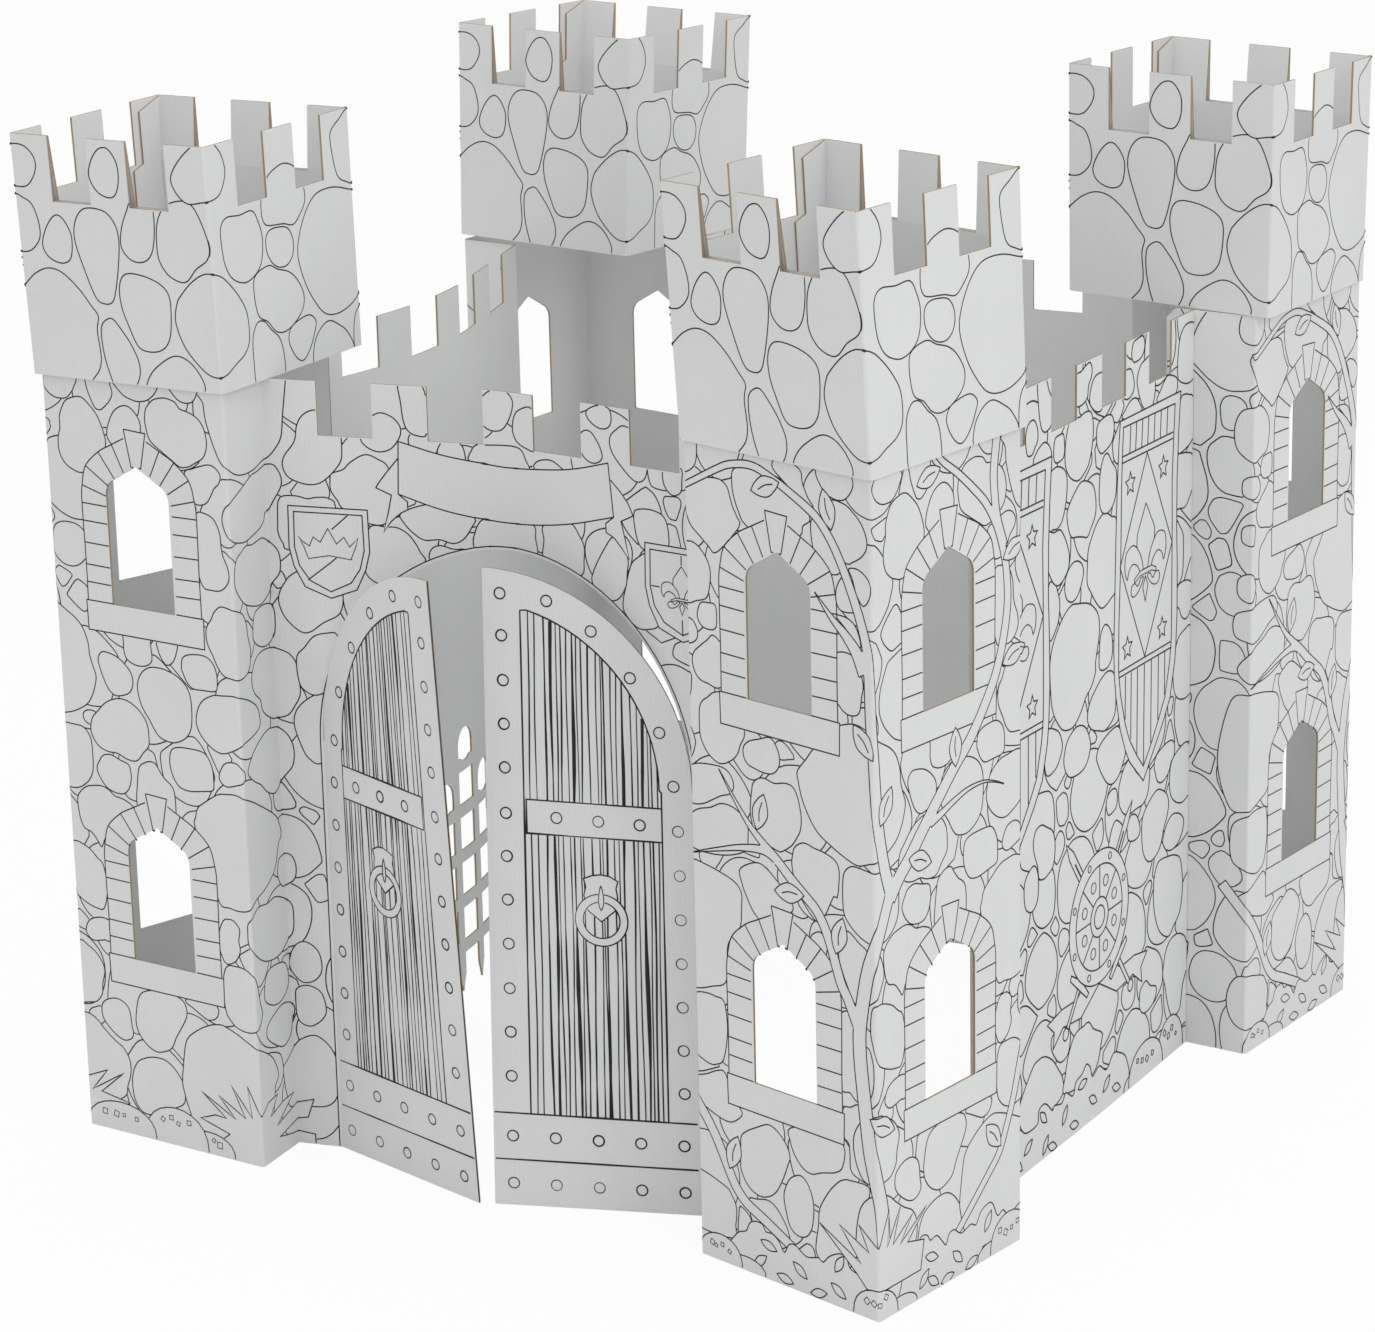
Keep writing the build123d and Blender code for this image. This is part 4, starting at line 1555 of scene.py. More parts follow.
@dataclass(frozen=True)
class TowerPrint:
    """Print of a tower round its outer corner: windows and stones, with or without climbing plants."""

    overgrown: bool

    # Stones read in pixels of the upper crop, and the others read in millimetres
    UPPER_CROP = Crop(15, 336, 3, 1000)
    UPPER_STONE_PIXELS = outlines(
        """
        22,70 45,100 75,115 105,118 140,110 170,85 185,60 200,20 150,-10 60,-10 20,30;
        248,0 248,30 256,60 268,90 282,120 295,137 318,143 340,132 362,110 385,85 390,60 380,35 370,0;
        380,0 395,20 420,45 450,68 485,82 520,88 560,82 590,65 615,45 630,20 630,-10 380,-20;
        690,-10 693,15 705,30 725,50 750,62 785,65 815,55 835,25 838,-10;
        205,100 160,110 130,130 105,170 97,200 95,240 85,280 82,320 88,350 100,375 120,395 150,410 200,420
        260,380 320,330 340,280 330,235 315,195 290,155 250,118 230,105;
        455,112 430,118 400,135 375,165 355,210 348,245 360,270 400,300 470,300 520,250 530,190 522,160
        505,135 480,118;
        660,58 610,70 575,95 560,120 555,160 560,200 570,230 590,255 640,285 690,315 730,335 770,330
        810,310 850,285 870,245 872,200 862,160 840,130 810,110 770,100 740,92 720,70 690,60;
        862,-20 868,60 872,120 890,180 910,230 940,290 975,320 1010,345 1060,362 1120,370 1180,362 1235,345
        1263,340 1299,306 1335,246 1347,156 1368,6 1368,-20;
        750,355 790,335 830,320 880,310 915,320 935,350 925,385 900,405 880,440 855,470 820,482 790,475
        760,420;
        960,470 1000,450 1050,430 1100,405 1150,385 1200,378 1263,362 1299,366 1326,411 1323,456 1287,516
        1263,555 1240,565 1230,590 1200,615 1150,630 1080,644 1020,637 980,620 950,590 932,540 940,500;
        800,520 850,515 885,530 905,560 918,600 922,650 930,690 945,720 955,760 945,795 910,828 860,835
        810,820 780,700 790,600;
        1005,700 1040,680 1080,663 1130,670 1200,660 1240,675 1290,715 1305,760 1300,820 1265,860 1250,890
        1220,915 1170,932 1110,925 1050,900 1010,860 985,820 978,790 985,740;
        1120,960 1150,945 1200,940 1250,950 1266,975 1268,1020 1264,1080 1240,1105 1190,1115 1140,1100
        1105,1070 1098,1050 1105,1000;
        1110,1150 1150,1130 1200,1128 1263,1140 1323,1161 1353,1200 1362,1266 1365,1332 1338,1386 1308,1425
        1263,1440 1220,1435 1170,1405 1140,1370 1130,1330 1090,1290 1070,1240 1080,1190;
        885,905 910,897 960,905 1000,920 1030,940 1050,980 1058,1040 1070,1080 1075,1110 1065,1160
        1040,1190 1000,1203 950,1200 900,1190 870,1160 850,1120 820,1060 820,1000 845,960 860,930;
        710,1128 770,1120 815,1125 850,1155 862,1200 858,1250 840,1265 780,1270 730,1270 700,1245 680,1210
        675,1190 682,1150;
        380,1060 370,1130 368,1160 385,1195 430,1213 480,1208 510,1190 520,1170 515,1120 505,1060;
        550,1080 555,1130 570,1165 595,1187 620,1180 645,1145 660,1080 610,1050;
        250,1180 280,1178 320,1187 360,1210 395,1245 408,1280 400,1320 375,1345 330,1360 300,1358 270,1335
        245,1290 225,1230 228,1200;
        500,1212 550,1207 600,1213 650,1230 690,1260 710,1300 718,1360 712,1430 690,1475 650,1505 600,1520
        540,1510 510,1480 485,1440 450,1390 432,1330 435,1280 460,1240;
        945,1272 990,1285 1050,1310 1100,1350 1118,1400 1112,1440 1060,1465 980,1480 930,1505 870,1526
        820,1515 770,1480 742,1430 742,1380 770,1320 830,1285 880,1277;
        200,1445 250,1400 300,1377 350,1372 400,1385 440,1415 470,1460 478,1520 470,1560 440,1590 410,1625
        380,1635 340,1628 300,1613 250,1613 200,1600 170,1565 158,1530 170,1480
        """
    )
    OTHER_STONES = outlines(
        """
        2,780 15,772 32,762 45,749 53,729 55,709 62,689 64,679 58,659 48,642 35,632 15,623 -5,618 -26,611
        -43,614 -70,625 -99,642 -120,673 -129,703 -129,714 -114,732 -102,747 -67,782 -55,788 -32,794
        -12,790;
        -2,606 15,605 32,604 42,597 48,582 48,547 42,530 30,518 15,511 -5,511 -23,516 -38,525 -51,539
        -54,554 -54,582 -51,597 -40,607 -26,608;
        62,560 68,567 82,570 98,565 114,560 117,548 117,540 112,525 102,516 88,515 72,520 60,533 55,547;
        133,560 142,567 152,571 162,570 168,562 178,550 188,543 194,533 195,507 190,490 150,480 126,500
        128,537;
        192,592 202,599 222,601 248,600 258,593 265,578 266,560 264,547 248,543 222,539 205,542 197,550
        192,560 189,575;
        285,587 295,592 308,592 317,585 323,575 318,565 305,560 290,556 280,560 276,570;
        330,575 335,588 348,602 368,615 388,622 408,620 416,617 428,608 436,590 434,565 421,548 405,530
        392,528 375,537 362,550 345,560;
        305,546 322,540 342,530 362,518 378,508 392,498 402,487 408,465 400,453 395,440 387,420 372,407
        355,398 335,392 315,380 298,377 282,379 265,383 250,430 228,487 230,503 235,517 252,530 272,542
        288,545;
        15,493 20,505 32,515 45,519 62,521 75,517 85,510 102,507 118,497 112,473 68,450 55,430 50,435
        42,445 35,450 25,453 18,467;
        -9,392 -8,416 -4,428 5,431 15,430 32,423 45,412 55,403 60,370 52,338 38,336 22,340 8,347 2,353
        -4,372;
        15,300 20,312 32,320 52,323 65,315 60,290 50,290 38,287 25,286 17,293;
        2,282 15,277 32,267 43,252 45,240 40,223 38,207 27,193 12,189 -5,186 -25,190 -38,215 -40,245
        -25,270;
        35,180 38,193 52,202 68,204 82,198 88,187 90,167 92,157 88,148 75,143 62,147 48,157 38,168;
        102,202 108,217 120,226 150,232 182,227 192,217 193,203 185,187 172,167 162,148 148,140 132,137
        115,145 102,160 98,177;
        192,226 205,217 222,208 232,204 245,208 251,217 249,228 220,240;
        265,225 272,212 285,202 305,199 323,205 332,217 334,227 330,240 325,267 318,283 305,292 288,294
        270,290 262,260;
        268,357 278,362 288,361 297,352 297,343 295,333 297,320 292,307 282,298 268,297 258,327;
        320,368 338,379 362,377 382,380 402,373 415,365 422,357 423,330 418,313 402,300 388,293 368,292
        345,298 325,313 313,330 312,347 313,360;
        348,273 362,282 388,281 402,275 408,260 408,247 402,235 388,226 372,224 355,230 343,240 342,253;
        348,203 365,212 388,219 408,215 417,207 417,197 412,183 408,170 398,160 385,157 372,162 355,173
        343,185 343,195;
        395,420 398,430 408,433 422,433 430,420 428,398 412,387 400,393 393,410;
        262,200 282,193 305,182 328,170 348,157 360,143 368,120 358,107 355,93 340,60 260,30 202,37 188,60
        180,87 178,103 182,130 187,157 195,172 215,187 235,197 252,201;
        105,120 125,127 148,127 165,117 178,100 182,83 178,67 162,57 128,40 102,38 88,53 84,77 87,97
        95,112;
        5,172 22,167 38,153 55,140 72,130 82,113 82,93 75,73 68,55 28,40 -25,47 -38,93 -32,143 -15,167;
        383,127 398,135 415,148 425,158 450,165 475,140 480,90 460,60 400,60 388,83 382,113;
        413,265 415,283 425,300 440,305 458,292 462,265 450,248 430,245;
        422,233 420,213 421,193 428,182 445,180 465,200 460,230 440,240;
        -320,1068 -305,1075 -298,1085 -296,1100 -300,1115 -335,1115 -345,1090 -338,1072;
        -320,978 -305,979 -290.6,970.6 -279,956 -276,941 -279,920.6 -284.7,908.8 -302,903 -320,898.5
        -345,915 -350,945 -340,970;
        -299,894 -293.5,902 -282,904.4 -268,902 -268,873.5 -282,869 -293.5,872 -301,882;
        -320,878 -308,875 -301,862 -305,850 -320,843.5 -335,850 -335,870;
        -270,862 -285,854 -299,843 -308,835 -312,823.5 -308,809 -299,800 -285,797 -262,796 -240,830;
        -320,807 -314,803 -313.5,794 -315.6,779 -320,775 -335,780 -335,800;
        -271.5,788 -285,779 -296.5,770.6 -301,759 -301,729 -296.5,715 -285,701.5 -267,694 -249.4,700
        -234.7,712 -229,726.5 -221,747 -240,790;
        -212.6,735 -196.5,741 -176,747 -164,735 -159.7,720.6 -162.6,709 -173,700 -187.6,698.5 -202,700
        -217,704.4 -224.4,714.7 -223,726.5;
        -320,734 -311,720.6 -309.7,709 -320,691 -340,700 -340,725;
        -320,681 -302,687 -273,689.7 -255,688 -245,679.4 -242,667.6 -249.4,657 -267,650 -293.5,635 -311,630
        -320,631 -345,640 -345,670;
        -320,614.7 -305,625 -285,631 -267,639.7 -249.4,640.6 -231.8,635 -220,623.5 -218.5,608.8 -225,585
        -270,570 -320,570 -340,590;
        -209.7,670.6 -206.8,681 -199.4,688 -187.6,690.6 -170,688 -152.4,691.8 -137.6,689.7 -128.8,676.5
        -123.5,653 -125.9,635 -131.8,623.5 -140.6,611.8 -155,601.5 -167,599.4 -202,611.8 -212.6,638;
        -140.6,582 -140,600 -134.7,611.8 -120,620 -102,616.8 -84.7,614.7 -67,608.8 -59.7,597 -60.6,573.5
        -64,560 -70,560 -84.7,532 -100,520 -130,550;
        -90.6,1103 -84.7,1091 -76,1081 -61,1075 -46.5,1076 -34.7,1085 -28.8,1100 -40,1115 -85,1115;
        -70,1070.6 -46.5,1072 -31.8,1064.7 -17,1051.5 -8,1035 -8,1020.6 -17,1008.8 -31.8,1000 -40.6,997
        -60,1010 -75,1040;
        -99.4,1042.6 -99.4,1014.7 -90.6,994 -78.8,985 -67,979.4 -52,985 -60,1010 -80,1040;
        -48,979.4 -58,964.7 -59.7,950 -55,938 -46.5,934.7 -28.8,938 -25,950 -35,975;
        -37.6,991 -23,992.6 -8,985 -2,973.5 -3.8,958.8 -14,948.5 -25,960 -32,980;
        -59.7,928 -46.5,929.4 -31.8,923.5 -23,911.8 -20,894 -45,915;
        -68.5,828 -61,817.6 -49,807 -37.6,803.5 -25.9,807 -20.6,814.7 -19.4,829 -15.6,850 -30,880 -60,880
        -70,850;
        -150,1115 -118,1103 -114,1088 -105,1070 -96,1060 -110,1062 -140,1080 -165,1100;
        -212,1017 -224,1032 -232,1050 -235,1068 -231,1086 -200,1092 -140,1082 -102,1046 -114,1032 -120,1018
        -165,1000;
        -264,1069 -252,1067 -243,1060 -235,1038 -226,1023 -224,1012 -264,973 -279,979 -296,991 -311,1003
        -320,1026 -325,1050 -290,1065;
        -320,553 -299,552 -270,547 -243,539 -232,527 -232,510 -236,478 -258,450 -262,400 -290,385 -320,376
        -350,380 -370,450 -350,540;
        -233,560 -231,542 -223,525 -208,504 -180,490 -145,520 -143,535 -170,560 -200,575;
        -131.8,539.4 -123,527.6 -108,521 -100,522 -105,540 -120,548;
        -111,495 -105,502.6 -92,507 -82,490 -90,470 -110,480;
        -48,520 -28,509 -13,497 -25,460 -33,425 -50,450 -62,480 -60,500;
        -320,368.8 -299,374 -282,372.6 -267,368.8 -262,330 -270,289 -282,279 -296.5,276 -320,283.5 -345,300
        -345,350;
        -320,252.6 -302,260 -282,270 -268.5,270 -255,240 -237.6,221.8 -252,207 -267,202.6 -290.6,208.5
        -320,220 -340,235;
        -240.6,188 -231.8,198 -211,210 -190.6,219.4 -173,213 -158,198 -153,183.5 -156.8,171.8 -167,148
        -178.8,127.6 -193.5,117 -211,113.5 -228.8,121.8 -242,142 -242,168.8;
        -152,224.7 -152,207 -143.5,189.4 -128.8,174.7 -114,172 -96.5,179 -73,186.5 -59.7,198 -59,228
        -100,240;
        -158,148 -149.4,158.5 -134.7,163.8 -123,157 -114,139.4 -111.8,118.8 -115.6,95 -125.9,80.6 -140.6,78
        -153.8,86.5 -161,104 -164.7,127.6;
        -228.8,102.6 -214,108.5 -193.5,111.5 -178.8,105.6 -164,89.4 -156.8,74.7 -156.8,60 -180,50 -220,70;
        -108,63 -103.8,104 -102,124.7 -93.5,142 -78.8,163 -61,179 -40.6,183 -14,181 -20,150 -30,100 -50,60
        -80,50;
        -58,278 -46,283 -28,289 -22,250 -14,192 -35,190 -46,198 -47,219 -49,233 -58,242;
        -62,310 -46,303 -30,299 -30,380 -38,410 -62,400;
        -14,372 -6,355 -4,336 -6,316 -14,301 -30,310 -30,360;
        -259.7,39 -253.8,60 -252,83.5 -261,101 -273,110 -330,120 -350,80 -330,40;
        -249.4,50 -248,75 -243.5,89.4 -225,75 -235,55
        """
    )
    GRASSY = Growth(
        (Pebble(60, 64, 45), Pebble(162, 58, 57), Pebble(222, 46, 33), Pebble(92, 34, 18),
         Pebble(-70, 60, 40)),
        (), (),
        (
            "260,38 208,52 235,62 255,61 212,93 272,63 243,93 290,68 267,113 302,71 296,117 318,75 338,90 "
            "363,93 342,67 375,77 407,80 358,47 395,57 440,68 430,40 363,28 400,20 440,15 440,-20 255,-20 "
            "230,15",
            "-60,60 -20,95 -5,72 38,90 8,55 70,92 25,55 77,47 20,20 -60,20",
        ),
    )
    VINED = Growth(
        (Pebble(-283, 40, 38), Pebble(-236, 36, 20), Pebble(-2, 42, 42), Pebble(46, 36, 20),
         Pebble(292, 44, 50), Pebble(248, 30, 22)),
        (
            "-290,10 -264,35 -249,51 -235,57 -229,69 -220,75 -205,75 -199,66 -188,67 -176,60 -166,47 "
            "-158,60 -146,63 -126,53 -105,58 -97,54 -85,66 -67,75 -55,72 -49,60 -29,53 -20,39 -10,10",
            "36,10 47,33 50,48 59,54 79,66 82,78 94,86 106,82 112,73 126,75 138,63 147,54 153,66 165,69 "
            "182,58 203,63 215,58 226,72 241,78 253,75 265,53 277,57 291,47 320,55 345,70 370,60 395,72 "
            "418,55",
        ),
        (
            (-194, 48, -15), (-138, 30, -35), (-70, 22, -30), (-68, 60, 60), (-165, 10, -10),
            (-105, 8, 15), (-210, 22, 40), (115, 49, -20), (173, 28, -45), (243, 53, 60), (98, 24, 45),
            (118, 14, -35), (243, 14, -25), (205, 8, 20), (150, 6, 10), (330, 30, 40), (370, 25, -30),
            (400, 38, 30),
        ),
        (
            "-102,108 -30,73 -67,116 -16,92 -33,125 0,101 22,148 18,98 48,148 30,97 73,125 46,92 104,126 "
            "62,89 98,80 90,40 -20,40 -38,57",
        ),
        (
            (118, 1088, 15), (173, 726, 90), (23, 688, 62), (95, 597, -20), (302, 817, 18), (303, 957, 22),
            (-178, 1072, 20), (-73, 1060, 105), (-17, 773, -52), (-196, 644, 75), (-147, 547, 5),
            (-61, 510, 76), (12, 265, -25), (-255, 162, 72), (256, 170, -50),
        ),
        (
            (
                "12,90 8,150 -2,190 -12,230 -20,290 -27,350 -28,390 -22,430 -12,475 2,510 "
                "18,545 30,572 36,592", 25.0, 20.0,
            ),
            (
                "-28,390 -47,428 -58,445 -67,468 -76,494 -87,517 -100,535 -117,548 -145,568 "
                "-170,588 -192,602", 17.0, 14.0,
            ),
            ("-175,590 -190,602 -215,622 -240,650 -268,686", 14.0, 0.6),
            ("-165,585 -190,594 -230,589 -270,578 -300,569 -318,563", 14.0, 0.6),
            (
                "30,565 50,588 70,605 100,635 135,668 170,700 205,728 235,762 262,800 280,845 "
                "289,890 286,935 276,970 262,1000 240,1030 212,1055 180,1080 150,1100 130,1118", 24.0, 9.0,
            ),
            (
                "34,565 20,605 10,650 4,700 0,755 -4,800 -6,850 -9,893 -20,930 -35,965 "
                "-53,1000 -72,1028 -95,1050 -133,1070 -165,1084 -200,1095 -237,1091 -262,1081 "
                "-291,1066 -322,1050", 21.0, 8.0,
            ),
            ("-12,862 -26,886 -45,906 -68,924 -95,951", 24.0, 0.6),
            ("118,640 140,646 170,656 200,663 232,664 258,658 280,649", 12.0, 0.6),
            ("172,62 206,89 238,115 268,141 285,172 300,205 312,240 330,300 338,360 330,420", 12.0, 14.0),
            (
                "-150,58 -200,82 -233,97 -253,116 -266,138 -278,160 -290,180 -305,200 "
                "-325,222 -360,260", 15.0, 17.0,
            ),
            ("268,1125 259,1070 260,1040 266,1005 282,965", 17.0, 14.0),
        ),
    )

    def draw(self, drawing: Drawing, panel: Panel) -> None:
        """Draws the plants and the windows round a corner.

        Args:
            drawing: where they go.
            panel: the skin, measured from the corner.
        """
        (self.VINED if self.overgrown else self.GRASSY).draw(drawing, panel)
        for centre in (WINDOW_CENTRE, -WINDOW_CENTRE):
            for sill in (UPPER_SILL, LOWER_SILL):
                Window(centre, sill).draw(drawing, panel)

    def stones(self, drawing: Drawing, panel: Panel) -> None:
        """Draws the stones to the nearest millimetre; they lie under everything else.

        Args:
            drawing: where they go.
            panel: the skin, measured from the corner.
        """
        upper = [self.UPPER_CROP.outline(pixels) for pixels in self.UPPER_STONE_PIXELS]
        for outline in upper + self.OTHER_STONES:
            drawing.shape(panel.to([(round(x), round(z)) for x, z in outline]))


@dataclass(frozen=True)
class WallBanner:
    """Long pointed banner with stripes, a diamond, a lily and four stars."""

    shift: float

    OUTER = trace(
        "457,1003 668,1002 662,945 658,879 658,812 662,745 663,679 660,632 656,605 640,555 613,523 547,458 "
        "498,500 482,523 463,560 448,612 443,639 440,679 442,745 445,845 448,912 453,972"
    )
    INNER = trace(
        "468,992 648,988 645,949 642,912 640,879 642,812 643,712 643,645 638,612 622,563 597,532 573,505 "
        "547,480 523,503 497,533 481,562 464,610 457,645 457,712 462,812 463,912 465,952"
    )

    def draw(self, drawing: Drawing, wall: Panel) -> None:
        """Draws the banner on a wall.

        Args:
            drawing: where it goes.
            wall: the wall, measured from its left end.
        """
        panel = Panel(wall.origin + self.shift)
        lily(drawing, panel, 548.0, 764.0, 1.0)
        for x, z in ((493, 907), (608, 905), (487, 671), (609, 669)):
            drawing.shape(panel.to(star(x, z, 17.0)), smooth=False)
        for rows in ("463,942 641,939", "464,951 642,948", "457,643 643,640", "457,635 643,631"):
            drawing.line(panel.to(trace(rows)), smooth=False)
        drawing.line(panel.to(trace("551,939 460,794 548,643 642,788 551,939")), smooth=False)
        for x in (493, 513, 534, 555, 577, 599, 622):
            drawing.line(panel.to([(x, 990), (x - 3, 950)]), smooth=False)
        for x, z in ((481, 568), (501, 533), (523, 505), (547, 483), (572, 507), (597, 535), (620, 566)):
            drawing.line(panel.to([(x, z), (x, 632)]), smooth=False)
        drawing.line(panel.to(self.INNER), closed=True, smooth=False)
        drawing.shape(panel.to(self.OUTER), smooth=False)


@dataclass(frozen=True)
class Arms:
    """Round shield with a boss, over two crossed swords and a pair of ribbons."""

    x: float
    z: float

    RIBBON = trace("0,-60 60,-92 118,-86 150,-108 146,-84 168,-66 122,-58 74,-60 40,-40")
    GRIP = trace("-4,-168 4,-168 4,-110 -4,-110")
    GUARD = trace("-34,-110 34,-110 36,-102 12,-98 -12,-98 -36,-102")
    BLADE = trace("-9,-98 9,-98 8,150 0,178 -8,150")
    GROOVE = trace("-0.8,-90 0.8,-90 0.8,130 -0.8,130")

    def sword(self, drawing: Drawing, panel: Panel, lean: int) -> None:
        """Draws one sword: the groove of its blade, then grip, guard, blade and pommel.

        Args:
            drawing: where it goes.
            panel: the stretch of skin that it lies on.
            lean: 1 or -1, the side that it leans to.
        """
        c, s = math.cos(math.radians(38)), math.sin(math.radians(38)) * lean

        def at(part: Points) -> Points:
            return panel.to([(self.x + a * c + b * s, self.z - a * s + b * c) for a, b in part])

        drawing.line(at(self.GROOVE), HAIR_LINE, True, False)
        for part in (self.GRIP, self.GUARD, self.BLADE, circle(0, -177, 9)):
            drawing.shape(at(part), smooth=False)

    def draw(self, drawing: Drawing, panel: Panel) -> None:
        """Draws the arms.

        Args:
            drawing: where they go.
            panel: the stretch of skin that they lie on.
        """
        x, z = self.x, self.z

        def out(reach: float, angle: float) -> Point:
            return (x + reach * math.cos(angle), z + reach * math.sin(angle))

        drawing.shape(panel.to(circle(x, z, 17, 20)))
        drawing.line(panel.to(circle(x, z, 29, 24)), closed=True)
        for k in range(8):
            drawing.shape(panel.to(circle(*out(88, math.tau * (k + 0.5) / 8), 5, 12)), DETAIL_LINE)
        for k in range(8):
            a = math.tau * k / 8
            drawing.line(panel.to([out(29, a), out(76, a)]), smooth=False)
            drawing.shape(panel.to(circle(*out(53, a + math.tau / 16), 8, 14)), DETAIL_LINE)
        drawing.line(panel.to(circle(x, z, 77, 40)), closed=True)
        drawing.shape(panel.to(circle(x, z, 99, 44)))
        for lean in (-1, 1):
            self.sword(drawing, panel, lean)
        for flip in (-1, 1):
            drawing.shape(panel.to([(x + flip * a, z + b - 40) for a, b in self.RIBBON]), smooth=False)


